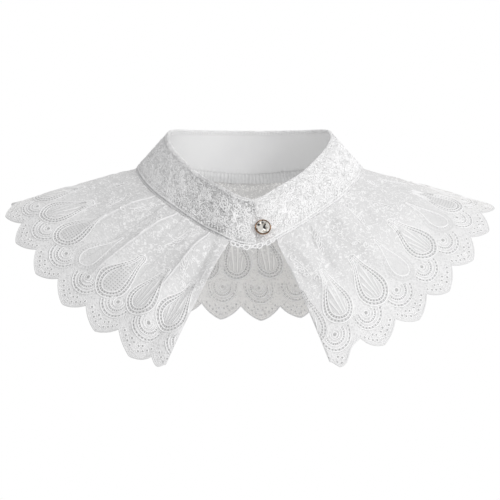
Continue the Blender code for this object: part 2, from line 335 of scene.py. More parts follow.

# %% [markdown]
# The solids hold the broad folds. Real cloth adds narrow ones: the crest of a fold is sharper than its
# flanks, and where a longer edge is eased into a seam it puckers. Both are more rows of the same kind,
# uneven in length, depth and spacing.

# %% Narrow creases and puckers
CREASES = [
    Fold(25, 42, 1.1, 2.2, -0.02, 0.95),
    Fold(47.5, 64, 1.1, 2.6, -0.02, 0.98),
    Fold(64.5, 77, 1.1, 2.3, -0.02, 0.75),
    Fold(309, 300, 1.9, 0.8, -0.01, 0.80),
    Fold(321, 341, 0.9, -1.4, -0.05, 0.45),
    Fold(326, 316, 1.2, -1.0, 0.10, 0.60),
    Fold(336, 322, 1.4, 0.9, 0.01, 0.85),
    Fold(286, 277, 1.5, 1.0, 0.05, 0.90),
    Fold(128, 124, 2.0, 0.8, 0.01, 0.90),
    Fold(212, 214, 2.0, 0.8, 0.01, 0.80),
]
PUCKERS = [
    Fold(16, 30, 1.3, 0.6, -0.10, 0.42),
    Fold(20, 34, 1.1, -0.5, -0.10, 0.36),
    Fold(29, 43, 1.2, -0.7, -0.10, 0.40),
    Fold(33, 46, 1.4, 0.6, -0.10, 0.52),
    Fold(41, 56, 1.3, 0.5, -0.10, 0.38),
    Fold(44, 60, 1.2, -0.6, -0.10, 0.44),
    Fold(53, 68, 1.3, -0.6, -0.10, 0.46),
    Fold(60, 74, 1.3, 0.5, -0.10, 0.42),
    Fold(70, 82, 1.3, -0.6, -0.10, 0.46),
    Fold(85, 92, 1.6, 0.5, -0.10, 0.38),
    Fold(93, 96, 1.5, -0.5, -0.10, 0.34),
    Fold(104, 104, 1.6, 0.5, -0.10, 0.42),
    Fold(109, 108, 1.5, -0.5, -0.10, 0.36),
    Fold(118, 116, 1.7, 0.5, -0.10, 0.46),
    Fold(134, 133, 1.7, -0.6, -0.10, 0.40),
    Fold(140, 139, 1.5, 0.5, -0.10, 0.38),
    Fold(153, 152, 1.7, 0.5, -0.10, 0.44),
    Fold(159, 158, 1.5, -0.5, -0.10, 0.38),
    Fold(172, 171, 1.6, -0.5, -0.10, 0.42),
    Fold(178, 178, 1.5, 0.5, -0.10, 0.36),
    Fold(197, 196, 1.6, 0.5, -0.10, 0.46),
    Fold(204, 205, 1.7, -0.5, -0.10, 0.38),
    Fold(221, 223, 1.6, -0.5, -0.10, 0.42),
    Fold(229, 231, 1.5, 0.5, -0.10, 0.36),
    Fold(246, 248, 1.6, 0.5, -0.10, 0.40),
    Fold(261, 261, 1.5, -0.5, -0.10, 0.38),
    Fold(275, 271, 1.6, 0.6, -0.10, 0.44),
    Fold(281, 275, 1.3, -0.6, -0.10, 0.40),
    Fold(291, 281, 1.2, -0.7, -0.10, 0.46),
    Fold(295, 285, 1.1, 0.6, -0.10, 0.34),
    Fold(298, 287, 1.0, -0.6, -0.10, 0.40),
    Fold(305, 293, 1.2, 0.7, -0.10, 0.44),
    Fold(313, 303, 1.1, -0.6, -0.10, 0.40),
    Fold(318, 306, 1.1, -0.7, -0.10, 0.46),
    Fold(322, 310, 1.2, 0.6, -0.10, 0.36),
    Fold(331, 318, 1.2, 0.5, -0.10, 0.42),
    Fold(341, 327, 1.0, -0.5, -0.10, 0.36),
]
print(len(CREASES), "creases and", len(PUCKERS), "puckers")

# %% [markdown]
# A ring is read from its columns in the stations by a smooth curve through them, so nine listed places
# give a whole half of the collar, and the other half mirrors it.

# %% Rings
def smooth_step(t):
    t = np.clip(t, 0.0, 1.0)
    return t * t * (3 - 2 * t)


def mirrored_knots(column):
    """Angles and values of one column, carried on past both ends of the half collar."""
    knots = [(-s.angle, getattr(s, column)) for s in STATIONS[2:0:-1]]
    knots += [(s.angle, getattr(s, column)) for s in STATIONS]
    knots += [(360 - s.angle, getattr(s, column)) for s in STATIONS[-2:-4:-1]]
    return np.array(knots, float).T


def read_station(column, angle):
    """Values of one column at an array of angles, on a smooth curve through the stations."""
    angle = np.asarray(angle, float) % 360
    angle = np.where(angle > 180, 360 - angle, angle)
    a, v = mirrored_knots(column)
    i = np.clip(np.searchsorted(a, angle, side="right") - 1, 1, len(a) - 3)
    span = a[i + 1] - a[i]
    t = (angle - a[i]) / span
    slope1 = (v[i + 1] - v[i - 1]) / (a[i + 1] - a[i - 1]) * span
    slope2 = (v[i + 2] - v[i]) / (a[i + 2] - a[i]) * span
    return ((2 * t ** 3 - 3 * t ** 2 + 1) * v[i] + (t ** 3 - 2 * t ** 2 + t) * slope1
            + (3 * t ** 2 - 2 * t ** 3) * v[i + 1] + (t ** 3 - t ** 2) * slope2)


def ring_point(ring, angle):
    """Points of the top, seam or hem ring."""
    r = read_station(ring + "_r", angle) * MM
    h = read_station(ring + "_h", angle) * MM
    turn = np.radians(angle)
    return np.stack([-r * np.sin(turn), -r * np.cos(turn), h], axis=-1)


def unit(vectors):
    return vectors / np.linalg.norm(vectors, axis=-1, keepdims=True)


def way_along(points):
    """Metres along a line of points, from its first point to each of them."""
    steps = np.linalg.norm(np.diff(points, axis=0), axis=1)
    return np.concatenate([[0.0], np.cumsum(steps)])


def lap_share(turn):
    """1 where the -X end of the band lies on the other end, easing to 0 beyond it."""
    return smooth_step((LAP_START + LAP_EASE - turn) / LAP_EASE)


front_to_back = ring_point("seam", 180) - ring_point("seam", 0)
print("neck seam, front to back:", round(float(front_to_back[1]), 3), "m")

# %% [markdown]
# A place round the cape is given as a share: 0 at one front edge and 1 at the other. Seam and hem are
# each divided along their own length, so one share is at two different angles on them.

# %% Shares of the way round
def angle_table(ring, edges, front=0.0, side=0.0):
    """Shares of the way round a ring, and the angles there; steps may be wider in front and at the sides."""
    angles = np.linspace(*edges, RING_STEPS)
    steps = np.linalg.norm(np.diff(ring_point(ring, angles), axis=0), axis=1)
    turns = np.radians(angles[:-1])
    steps = steps / (1 + front * np.cos(turns) + side * np.sin(turns) ** 4)
    reach = np.concatenate([[0.0], np.cumsum(steps)])
    return reach / reach[-1], angles


SEAM_TABLE = angle_table("seam", SEAM_EDGES)
HEM_TABLE = angle_table("hem", HEM_EDGES, FRONT_STRETCH, SIDE_STRETCH)


def seam_angle(share):
    return np.interp(share, *SEAM_TABLE)


def hem_angle(share):
    return np.interp(share, *HEM_TABLE)


print("middle of the hem:", round(float(hem_angle(0.5)), 1), "degrees round")

# %% [markdown]
# The hem's scallops are one rounded lobe repeated, and a fold is a soft ridge that runs down the cape and
# fades in and out. Both are added to the plain surface below.

# %% Scallops and folds
def scallop(phase):
    """Share of the full depth at a place along the hem: 0 at a notch, 1 at a tip."""
    t = np.abs((phase % 1.0) - 0.5) * 2
    return 1 - SCALLOP_STRAIGHT * t ** 1.25 - (1 - SCALLOP_STRAIGHT) * t ** 3.2


def phase_at(share):
    return FIRST_SCALLOP + share * SCALLOPS


def lobe_at(share):
    """How far the hem hangs below the notches, in metres."""
    from_edge = np.minimum(share, 1 - share) * SCALLOPS
    ease = EDGE_DEPTH + (1 - EDGE_DEPTH) * smooth_step(from_edge / EDGE_EASE)
    lobe = SCALLOP_DEPTH * scallop(phase_at(share)) * ease
    for trim in TRIMS:
        lobe = lobe - trim.depth * MM * np.exp(-((phase_at(share) - trim.phase) / trim.width) ** 2)
    return lobe


def fold_height(folds, at_seam, at_hem, v):
    """How far a table of folds moves the cape out, in metres."""
    total = np.zeros(np.broadcast(at_seam, at_hem, v).shape)
    angle = at_seam + (at_hem - at_seam) * v
    for fold in folds:
        middle = fold.at_seam + (fold.at_hem - fold.at_seam) * v
        rise = smooth_step((v - fold.start) / FOLD_RISE)
        fade = smooth_step((fold.end - v) / FOLD_FADE)
        total = total + fold.height * MM * np.exp(-((angle - middle) / fold.width) ** 2) * rise * fade
    return total


longest = lobe_at(np.linspace(0, 1, RING_STEPS)).max() / MM
print("the longest scallop hangs", round(float(longest), 1), "mm below its notches")

# %% [markdown]
# A point of the cape starts on the straight line from seam to hem and is then moved out by the swell and
# the folds, and down by its scallop. Everything sewn on the cape asks this one function for its place.

# %% Points of the cape
def cape_run(share):
    """Straight line from seam to hem at a place, its normal, and the share that the seam takes up."""
    at_seam = seam_angle(share)
    at_hem = hem_angle(share)
    top = ring_point("seam", at_seam)
    run = ring_point("hem", at_hem) - top
    along = ring_point("hem", at_hem + 1) - ring_point("hem", at_hem - 1)
    along = along + ring_point("seam", at_seam + 1) - ring_point("seam", at_seam - 1)
    normal = unit(np.cross(along, run))
    band_run = unit(top - ring_point("top", at_seam))
    bend = np.arccos(np.clip(np.sum(band_run * unit(run), axis=-1), -1, 1))
    length = np.linalg.norm(run, axis=-1)
    start = (UNDER_BAND * SEAM_GAP + CAPE_WALL * np.sin(bend)) / np.cos(bend) / length
    return top, run, normal, length, start


def cape_point(share, v, out=0.0):
    """Points of the cape: v is 0 at the seam and 1 at the hem, out is the distance from its inner face."""
    share, v, out = np.broadcast_arrays(np.asarray(share, float), v, out)
    top, run, normal, length, start = cape_run(share)
    at_seam = seam_angle(share)
    at_hem = hem_angle(share)
    reach = start + (1 - start) * v
    bow = np.clip(reach, 0, 1) ** (log(0.5) / log(SWELL_PLACE))
    swell = read_station("swell", at_hem) * MM * np.sin(pi * bow)
    folds = fold_height(FOLDS + CREASES + PUCKERS, at_seam, at_hem, v)
    lift = LAP_LIFT * lap_share(at_seam) * (1 - v) ** 2
    drop = lobe_at(share) * np.clip(v, 0, None) ** 3
    point = top + run * reach[..., None] + normal * (swell + folds + lift + out)[..., None]
    droop = read_station("droop", at_hem)[..., None]
    hang = unit(run) * (1 - droop) - np.array([0, 0, 1.0]) * droop
    return point + hang * drop[..., None]


print("middle of the back hem:", [round(float(c), 3) for c in cape_point(0.5, 1.0)])

# %% [markdown]
# The band is a straight strip between its top edge and the seam. Its -X end lies on the other end, so it
# is lifted there by the thickness of both layers.

# %% The band's surface
def band_base(turn, v):
    """Inner face of the band: v is 0 at its top edge and 1 at the neck seam."""
    top = ring_point("top", turn)
    return top + (ring_point("seam", turn) - top) * np.asarray(v)[..., None]


def band_normal(turn, v):
    along = band_base(turn + 0.5, v) - band_base(turn - 0.5, v)
    down = ring_point("seam", turn) - ring_point("top", turn)
    return unit(np.cross(along, down))


def band_point(turn, v, out):
    """Points of the band at a distance out from its inner face; its ends overlap in front."""
    turn, v, out = np.broadcast_arrays(np.asarray(turn, float), v, out)
    lift = out + LAP_LIFT * lap_share(turn)
    return band_base(turn, v) + band_normal(turn, v) * lift[..., None]


BAND_FIRST = -degrees(atan2(BAND_END, STATIONS[0].top_r * MM))
BAND_LAST = 360 + degrees(atan2(BAND_OVERLAP - BAND_END, STATIONS[0].top_r * MM))
top_edge = way_along(ring_point("top", np.linspace(0, 360, RING_STEPS)))[-1]
print("band top edge:", round(float(top_edge), 3), "m")

# %% [markdown]
# ## Measures on the cloth
# An embroiderer works in millimetres on flat cloth. The same is wanted here: a place is given by the
# scallop it belongs to, how far it is to the side and how high it is above the line of the notches.
# The cloth narrows towards the neck, so a scallop's width depends on the height.

# %% From millimetres on the cloth to the cape
HEIGHT_STEPS = 14
PLACE_STEPS = 3
SHARE_MARGIN = 0.0015
HEM_MARGIN = 0.985


def ring_length(ring, edges):
    """Millimetres round a ring between two angles."""
    return way_along(ring_point(ring, np.linspace(*edges, RING_STEPS)))[-1] / MM


SEAM_PITCH = ring_length("seam", SEAM_EDGES) / SCALLOPS
HEM_PITCH = ring_length("hem", HEM_EDGES) / SCALLOPS
print("a scallop is", round(HEM_PITCH, 1), "mm wide at the hem and", round(SEAM_PITCH, 1), "at the seam")


def pitch_at(v):
    return SEAM_PITCH + (HEM_PITCH - SEAM_PITCH) * np.clip(v, 0, 1)


def height_above_notches(share, v):
    """Millimetres up the cloth from the line of the notches; below zero inside a scallop."""
    length, start = cape_run(share)[3:]
    drop = lobe_at(share) * np.clip(v, 0, None) ** 3
    return (length * (1 - start) * (1 - v) - drop) / MM


def cape_v(share, height):
    """The v of a height above the notches, found by closing in on it."""
    length, start = cape_run(share)[3:]
    depth = length * (1 - start) / MM
    lobe = lobe_at(share) / MM
    v = 1 - height / depth
    for _ in range(HEIGHT_STEPS):
        v = 1 - (height + lobe * np.clip(v, 0, None) ** 3) / depth
    return v


def on_cape(phase, x, height, out):
    """Points of the cape x mm beside the line of a phase and height mm above the notches."""
    x = np.asarray(x, float)
    height = np.asarray(height, float)
    share = np.full(x.shape, (phase - FIRST_SCALLOP) / SCALLOPS)
    for _ in range(PLACE_STEPS):
        v = cape_v(np.clip(share, 0, 1), height)
        share = (phase + x / pitch_at(v) - FIRST_SCALLOP) / SCALLOPS
    v = cape_v(np.clip(share, 0, 1), height)
    inside = (share > SHARE_MARGIN) & (share < 1 - SHARE_MARGIN) & (v < HEM_MARGIN)
    share = np.clip(share, 0, 1)
    return cape_point(share, v, out), inside


# %% [markdown]
# ## The drop motif
# Over each notch stands a drop, the old teardrop of whitework: round towards the hem, drawn out towards
# the neck, with rows of small eyelets between corded lines. Its sides follow one formula, so a point's
# ring number (0 on the inner line, growing outwards) and its way along the outline are easy to work out.
# The same formula draws the cords and, later, places the eyelets in the material. Some drops are filled
# with bars and some with a lattice, and a few are only begun and stay plain.

# %% Places of the drops
DROP_RADIUS = 7.6
DROP_TIP = 0.9
DROP_HEIGHT = 27.0
DROP_TIGHTEN = 0.5
DROP_LEAN = -2.4
DROP_CENTRE = 26.5
DROP_MIDDLE = 9.2
DROP_LINES = (0.0, 2.4)
DROP_OUTLINE = 5.0
LATTICE_DROPS = (3, 5, 8, 12, 20, 22)
PLAIN_DROPS = (4, 9, 18, 23, 25)
MOVED_DROPS = {1: (2.5, 29.5), 3: (-1.5, 24.0), 13: (-1.5, 31.0), 14: (-3.5, 34.0), 15: (-5.0, 36.0),
               27: (2.5, 31.0)}
OUTLINE_STEP = 2.2
DROP_NUMBERS = range(1, int(FIRST_SCALLOP + SCALLOPS) + 1)


def drop_place(numbers):
    """Where the centres of drops are: mm beside their notches and above them."""
    beside = np.zeros(np.shape(numbers))
    above = np.full(np.shape(numbers), DROP_CENTRE)
    for number, (x, height) in MOVED_DROPS.items():
        beside = np.where(numbers == number, x, beside)
        above = np.where(numbers == number, height, above)
    return beside, above


print("drops:", len(DROP_NUMBERS), "of which", len(LATTICE_DROPS), "have a lattice")


# %% Drop formula
def drop_taper(y):
    s = smooth_step(y / DROP_HEIGHT)
    return DROP_TIP + (DROP_RADIUS - DROP_TIP) * (1 - s), 1 - DROP_TIGHTEN * s, DROP_LEAN * s


def drop_map(x, y):
    """Way along the drop's outline and ring number, in mm; x is beside its axis and y above its centre."""
    half, spacing, lean = drop_taper(y)
    x = x - lean
    above = y - DROP_HEIGHT
    below_ring = np.hypot(x, y) - DROP_RADIUS
    above_ring = (np.hypot(x, above) - DROP_TIP) / (1 - DROP_TIGHTEN)
    ring = np.where(y < 0, below_ring, np.where(above > 0, above_ring, (np.abs(x) - half) / spacing))
    below_way = DROP_MIDDLE * np.arctan2(np.abs(x), -y)
    quarter = DROP_MIDDLE * pi / 2
    above_way = quarter + DROP_HEIGHT + 2.0 * np.arctan2(np.maximum(above, 0), np.abs(x) + 1e-6)
    way = np.where(y < 0, below_way, np.where(above > 0, above_way, quarter + y))
    return way, ring


def drop_outline(ring, step):
    """One closed line of the drop, as x and y in mm."""
    low = np.radians(np.linspace(-90, 90, 17))
    radius = DROP_RADIUS + ring
    rise = np.arange(step, DROP_HEIGHT, step)
    half, spacing, lean = drop_taper(rise)
    side = half + ring * spacing
    cap_radius = DROP_TIP + ring * (1 - DROP_TIGHTEN)
    high = np.radians(np.linspace(0, 180, 7))
    top_x = DROP_LEAN + cap_radius * np.cos(high)
    x = np.concatenate([radius * np.sin(low), lean + side, top_x, (lean - side)[::-1]])
    y = np.concatenate([-radius * np.cos(low), rise, DROP_HEIGHT + cap_radius * np.sin(high), rise[::-1]])
    return np.append(x, x[0]), np.append(y, y[0])


x, y = drop_outline(DROP_OUTLINE, OUTLINE_STEP)
print("drop:", round(x.max() - x.min(), 1), "mm wide and", round(y.max() - y.min(), 1), "mm high")

# %% [markdown]
# ## The cape
# The cape is one piece of cotton lawn, a thin shell on its solid's form. A grid with a column every
# 1.4 mm is moved on to the surface and given its thickness by Solidify. The embroidery draws the cloth
# together, which lifts it inside each drop and crumples it above. UV maps in millimetres go with it:
# where a point is in its drop, beside its drop's axis, beside its scallop's tip, and along the hem. Two
# more say how the drop there is filled, and how near the crest of a sharp fold is.

# %% Grid helpers
def cloth_grid(name, columns, rows):
    """A flat grid as a mesh, with the column and row of each vertex."""
    bm = bmesh.new()
    bmesh.ops.create_grid(bm, x_segments=columns, y_segments=rows, size=0.5)
    bmesh.ops.reverse_faces(bm, faces=bm.faces)
    mesh = finished_mesh(name, bm)
    flat = np.empty(len(mesh.vertices) * 3)
    mesh.vertices.foreach_get("co", flat)
    flat = flat.reshape(-1, 3)
    column = np.rint((flat[:, 0] + 0.5) * columns).astype(int)
    row = np.rint((0.5 - flat[:, 1]) * rows).astype(int)
    return mesh, column, row


def move_vertices(mesh, points):
    mesh.vertices.foreach_set("co", np.ascontiguousarray(points, np.float32).ravel())
    mesh.update()
    mesh.shade_smooth()


def corner_vertices(mesh):
    corners = np.empty(len(mesh.loops), int)
    mesh.loops.foreach_get("vertex_index", corners)
    return corners


def add_map(mesh, name, u, v):
    """A UV map given corner by corner, so that it may jump from one face to the next."""
    layer = mesh.uv_layers.new(name=name)
    layer.data.foreach_set("uv", np.stack([u, v], axis=1).astype(np.float32).ravel())


def cloth_piece(mesh, thickness):
    """The finished cloth, with half its thickness on either side of the grid."""
    piece = add_object(mesh.name, mesh)
    wall = piece.modifiers.new("cloth", "SOLIDIFY")
    wall.thickness = thickness
    wall.offset = 0.0
    return piece


# %% Cape mesh
COLUMNS_PER_SCALLOP = 24
CAPE_COLUMNS = round(SCALLOPS * COLUMNS_PER_SCALLOP)
CAPE_ROWS = 74
LAWN = 0.0005
LAWN_MIDDLE = CAPE_WALL / 2
PUFF = 0.55
RIM_PUFF = 0.18
PLAIN_DENT = 0.25
DROP_PAGE = 40.0
FAN_HEIGHT = 15.0
CRUMPLE = 0.8
TUCK_LIFT = 0.7
CRESTS = 3


def puff_at(ring):
    """How far the stitches lift the cloth inside a drop, in mm."""
    return PUFF * smooth_step(-ring / 4) + RIM_PUFF * smooth_step((7 - ring) / 2)


def uneven(points, size, seed):
    """Smooth random heights, about -0.5 to 0.5, for rows of points in mm."""
    return np.array([noise.noise(Vector((x / size, y / size, seed))) for x, y in points])


cape_mesh, column, row = cloth_grid("cape_lace", CAPE_COLUMNS, CAPE_ROWS)
share = column / CAPE_COLUMNS
start = cape_run(share)[4]
v = -start / (1 - start) + (1 + start / (1 - start)) * row / CAPE_ROWS
height = height_above_notches(share, v)
phase = phase_at(share)
number = np.rint(phase)
aside, centre = drop_place(number)
ring_number = drop_map((phase - number) * pitch_at(v) - aside, height - centre)[1]
dent = -PLAIN_DENT * smooth_step(-ring_number / 3)
puff = np.where(np.isin(number, PLAIN_DROPS), dent, puff_at(ring_number))
flat_place = np.stack([phase * (SEAM_PITCH + HEM_PITCH) / 2, height * 0.6], axis=1)
crumple = CRUMPLE * (uneven(flat_place, 7.5, 1.0) + 0.45 * uneven(flat_place, 3.4, 2.0))
crumple = crumple * (0.30 + 0.70 * smooth_step((height - 30) / 25)) * smooth_step(v / 0.10)
crumple = crumple + TUCK_LIFT * (1 - smooth_step(v / 0.05))
move_vertices(cape_mesh, cape_point(share, v, LAWN_MIDDLE + (puff + crumple) * MM))
print("cape:", len(cape_mesh.vertices), "vertices")

# %% Cape maps
edge_share = np.linspace(0, 1, 20 * CAPE_COLUMNS + 1)
edge_points = cape_point(edge_share, 1.0, 0.0)
edge_way = way_along(edge_points) / MM
edge_slope = np.gradient(edge_way, edge_share) / HEM_PITCH / SCALLOPS

corners = corner_vertices(cape_mesh)
face_column = column[corners].reshape(-1, 4).mean(axis=1).repeat(4)
face_phase = phase_at(face_column / CAPE_COLUMNS)
corner_phase = phase[corners]
corner_height = height[corners]
corner_pitch = pitch_at(v[corners])
drop_number = np.rint(face_phase)
tip_number = np.floor(face_phase) + 0.5
aside, centre = drop_place(drop_number)
axis_x = (corner_phase - drop_number) * corner_pitch - aside
way, ring_number = drop_map(axis_x, corner_height - centre)
way = np.where(face_phase < drop_number, -way, way)
add_map(cape_mesh, "axis", axis_x + DROP_PAGE * drop_number, corner_height)
add_map(cape_mesh, "drop", way, ring_number)
add_map(cape_mesh, "fan", (corner_phase - tip_number) * corner_pitch, corner_height - FAN_HEIGHT)
has_lattice = np.isin(drop_number, LATTICE_DROPS) * 1.0
is_plain = np.isin(drop_number, PLAIN_DROPS) * 1.0
add_map(cape_mesh, "fill", has_lattice, is_plain)
hem_in = height - height_above_notches(share, np.ones(len(share)))
hem_in = hem_in / np.maximum(np.interp(share, edge_share, edge_slope), 1.0)
add_map(cape_mesh, "hem", np.interp(share, edge_share, edge_way)[corners], hem_in[corners])

cape = cloth_piece(cape_mesh, LAWN)
print("hem edge:", round(edge_way[-1]), "mm along the scallops")

# %% [markdown]
# The sharpest folds catch the light along their crests. One more map tells the material how far a point
# is beside the nearest crest, in mm, and how strong the crest is there; the material paints a highlight
# on the crest and shade in the hollow beside it.

# %% Crest map
HEM_DEGREES = 308
FAR_OFF = 99.0

crest_side = np.full(len(share), FAR_OFF)
crest_strength = np.zeros(len(share))
at_seam = seam_angle(share)
at_hem = hem_angle(share)
for crest in CREASES[:CRESTS]:
    middle = crest.at_seam + (crest.at_hem - crest.at_seam) * v
    side = (at_seam + (at_hem - at_seam) * v - middle) * pitch_at(v) * SCALLOPS / HEM_DEGREES
    nearer = np.abs(side) < np.abs(crest_side)
    crest_side = np.where(nearer, side, crest_side)
    crest_strength = np.where(nearer, smooth_step((crest.end - v) / 0.5), crest_strength)
add_map(cape_mesh, "crest", crest_side[corners], crest_strength[corners])
print("cape maps:", [layer.name for layer in cape_mesh.uv_layers])

# %% [markdown]
# ## Raised embroidery
# Satin stitch and cording stand up from the cloth on both sides. Each line is a curve with a small round
# bevel laid in the middle of the cloth, and the curves are turned into one mesh for each kind of line.
# A curve is the direct way here: a thread is a line with a thickness.

# %% Thread helper
def thread_piece(name, lines, radius, closed=False, sides=1):
    """One piece of round cords along lists of points."""
    curve = bpy.data.curves.new(name, "CURVE")
    curve.dimensions = "3D"
    curve.bevel_depth = radius
    curve.bevel_resolution = sides
    curve.use_fill_caps = not closed
    for points in lines:
        spline = curve.splines.new("POLY")
        spline.points.add(len(points) - 1)
        flat = np.concatenate([points, np.ones((len(points), 1))], axis=1)
        spline.points.foreach_set("co", flat.astype(np.float32).ravel())
        spline.use_cyclic_u = closed
    holder = add_object(name + "_curve", curve)
    mesh = bpy.data.meshes.new_from_object(holder.evaluated_get(bpy.context.evaluated_depsgraph_get()))
    bpy.data.objects.remove(holder)
    mesh.name = name
    mesh.shade_smooth()
    return add_object(name, mesh)


def inside_runs(points, inside):
    """The stretches of a line that lie on the cloth."""
    runs = [[]]
    for point, good in zip(points, inside):
        if good:
            runs[-1].append(point)
        elif runs[-1]:
            runs.append([])
    return [np.array(run) for run in runs if len(run) > 1]


# %% Lines of the drops
CORD_LIFT = 0.00010
CORD_MIDDLE = LAWN_MIDDLE + CORD_LIFT
CORD_RADIUS = 0.00050
OUTLINE_RADIUS = 0.00055

drop_lines = []
outer_lines = []
for number in DROP_NUMBERS:
    aside, centre = drop_place(np.array(number))
    plain = number in PLAIN_DROPS
    for ring in DROP_LINES + (DROP_OUTLINE,):
        x, y = drop_outline(ring, OUTLINE_STEP)
        lifted = CORD_MIDDLE + puff_at(np.array(ring)) * MM
        place, inside = on_cape(number, x + aside, y + centre, np.full(len(x), lifted))
        if plain:
            inside = inside & (ring < 1)
        target = outer_lines if ring == DROP_OUTLINE else drop_lines
        target += inside_runs(place, inside)
cape_drops = thread_piece("cape_drop_cords", drop_lines, CORD_RADIUS)
cape_outlines = thread_piece("cape_outline_cords", outer_lines, OUTLINE_RADIUS)
print("lines of the drops:", len(drop_lines), "inside and", len(outer_lines), "round them")

# %% [markdown]
# Between two drops, above each scallop's tip, sits a worked eyelet with arcs fanning out below it, and
# the scallop itself is set with ringed eyelets that follow its edge.

# %% Eyelets of a scallop
EYELET_INSET = 3.9
SECOND_INSET = 7.8
EYELETS_PER_SIDE = 5
SECOND_ROW = 3


def edge_height(x):
    """Height of the scallop's edge x mm beside its tip."""
    return -SCALLOP_DEPTH / MM * scallop(0.5 + x / HEM_PITCH)


def eyelet_row(inset, count, edge_count):
    """Eyelets on one side of a scallop's tip, an even step along its edge and inset from it."""
    x = np.linspace(0, HEM_PITCH / 2, 200)
    h = edge_height(x)
    way = np.concatenate([[0], np.cumsum(np.hypot(np.diff(x), np.diff(h)))])
    step = way[-1] / edge_count
    places = []
    for i in range(count):
        k = int(np.searchsorted(way, (i + 0.5) * step))
        slope = (h[k + 1] - h[k - 1]) / (x[k + 1] - x[k - 1])
        length = (1 + slope * slope) ** 0.5
        places.append((float(x[k] - inset * slope / length), float(h[k] + inset / length)))
    return places


EYELETS = eyelet_row(EYELET_INSET, EYELETS_PER_SIDE, EYELETS_PER_SIDE)
EYELETS += eyelet_row(SECOND_INSET, SECOND_ROW, EYELETS_PER_SIDE)
print("eyelets of half a scallop:", [(round(x, 1), round(h, 1)) for x, h in EYELETS])

# %% Fans and rings
FAN_ARCS = (3.6, 5.9, 8.2, 10.5, 12.8)
FAN_OPEN = 125
FAN_RING = 1.9
RING_RADIUS = 1.25
RING_CORD = 0.00045
CLEAR_OF_DROP = 0.9
CLEAR_OF_NEXT = 0.4
CLEAR_OF_RINGS = 1.6


def circle(centre_x, centre_y, radius, steps, first=0, last=360):
    turns = np.radians(np.linspace(first, last, steps + 1))
    return centre_x + radius * np.sin(turns), centre_y - radius * np.cos(turns)


tips = [number + 0.5 for number in range(0, int(FIRST_SCALLOP + SCALLOPS) + 1)]
fan_lines = []
ring_lines = []
for tip in tips:
    for radius in FAN_ARCS:
        x, y = circle(0, FAN_HEIGHT, radius, 18, -FAN_OPEN, FAN_OPEN)
        place, inside = on_cape(tip, x, y, CORD_MIDDLE)
        to_drop = np.abs(np.abs(x) - pitch_at(cape_v(np.full(x.shape, 0.5), y)) / 2)
        clear = drop_map(to_drop, y - DROP_CENTRE)[1] > DROP_OUTLINE + CLEAR_OF_DROP
        own_side = np.abs(x) < HEM_PITCH / 2 - CLEAR_OF_NEXT
        above_rings = y > edge_height(x) + SECOND_INSET + CLEAR_OF_RINGS
        fan_lines += inside_runs(place, inside & clear & own_side & above_rings)
    rings = [(0.0, FAN_HEIGHT, FAN_RING)] + [(s * x, h, RING_RADIUS) for x, h in EYELETS for s in (-1, 1)]
    for centre_x, centre_y, radius in rings:
        x, y = circle(centre_x, centre_y, radius, 9)
        place, inside = on_cape(tip, x, y, CORD_MIDDLE)
        if inside.all():
            ring_lines.append(place[:-1])
cape_fans = thread_piece("cape_fan_cords", fan_lines, CORD_RADIUS)
cape_rings = thread_piece("cape_eyelet_rings", ring_lines, RING_CORD, closed=True, sides=0)
print("fan lines:", len(fan_lines), "and rings:", len(ring_lines))

# %% [markdown]
# Above the drops the embroiderer set small sprays, low and loose: a bowed stem, some leaves and a bud.
# They use a few flat shapes, which the band's scrolls use again.

# %% Flat shapes
def spiral(x, y, radius, turns, lean):
    t = np.linspace(0.12, 1, 22)
    angle = np.radians(lean) + t * turns * 2 * pi
    return x + radius * t * np.cos(angle), y + radius * t * np.sin(angle)


def leaf(x, y, length, width, lean):
    t = np.linspace(0, 1, 7)
    side = width * np.sin(pi * t ** 0.8)
    u = np.concatenate([length * t, length * t[-2::-1]])
    w = np.concatenate([side, -side[-2::-1]])
    c = cos(radians(lean))
    s = sin(radians(lean))
    return x + u * c - w * s, y + u * s + w * c


def flower(x, y, radius, petals, lean):
    t = np.linspace(0, 2 * pi, petals * 6 + 1)
    r = radius * (0.62 + 0.38 * np.abs(np.cos(petals * t / 2 + radians(lean))))
    return x + r * np.cos(t), y + r * np.sin(t)


def stem(x, y, length, rise, bow):
    t = np.linspace(0, 1, 12)
    return x + length * t, y + rise * t + bow * np.sin(pi * t)


# %% Sprays above the drops
SPRAY_CORD = 0.00042
SPRAY_HEIGHTS = (66, 58, 70, 62, 73, 60)
SPRAY_LIMIT = 92
SPRAY_LIFT = 0.00020
LEAVES = ((2, 4.6), (6, 5.2), (10, 4.6), (14, 3.8))
spray_lines = []
for k, tip in enumerate(tips):
    low = SPRAY_HEIGHTS[k % len(SPRAY_HEIGHTS)]
    flip = 1 if k % 2 else -1
    shapes = [stem(-3 * flip, low, 5 * flip, 19, 2.4 * flip), flower(2.5 * flip, low + 21, 2.3, 5, 40 * k)]
    for reach, grow in LEAVES:
        side = flip if reach % 4 else -flip
        shapes.append(leaf(-2 * flip + 0.25 * reach * flip, low + reach, grow, 1.1, 90 - 52 * side))
    shapes.append(spiral(-5 * flip, low - 4, 2.6, 1.4, 70 * k))
    for x, y in shapes:
        place, inside = on_cape(tip, x, y, LAWN_MIDDLE + SPRAY_LIFT)
        spray_lines += inside_runs(place, inside & (y < SPRAY_LIMIT))
cape_sprays = thread_piece("cape_spray_cords", spray_lines, SPRAY_CORD, sides=0)
print("sprays:", len(spray_lines), "lines")

# %% [markdown]
# A satin-stitched cord finishes the scalloped hem, and the two front edges are turned in a narrow hem
# with a row of stitches.

# %% Hem cord and front hems
HEM_CORD = 0.00062
FRONT_CORD = 0.00030
FRONT_HEM = 4.2
STITCH_LIFT = 0.0001
LAST_V = 0.998

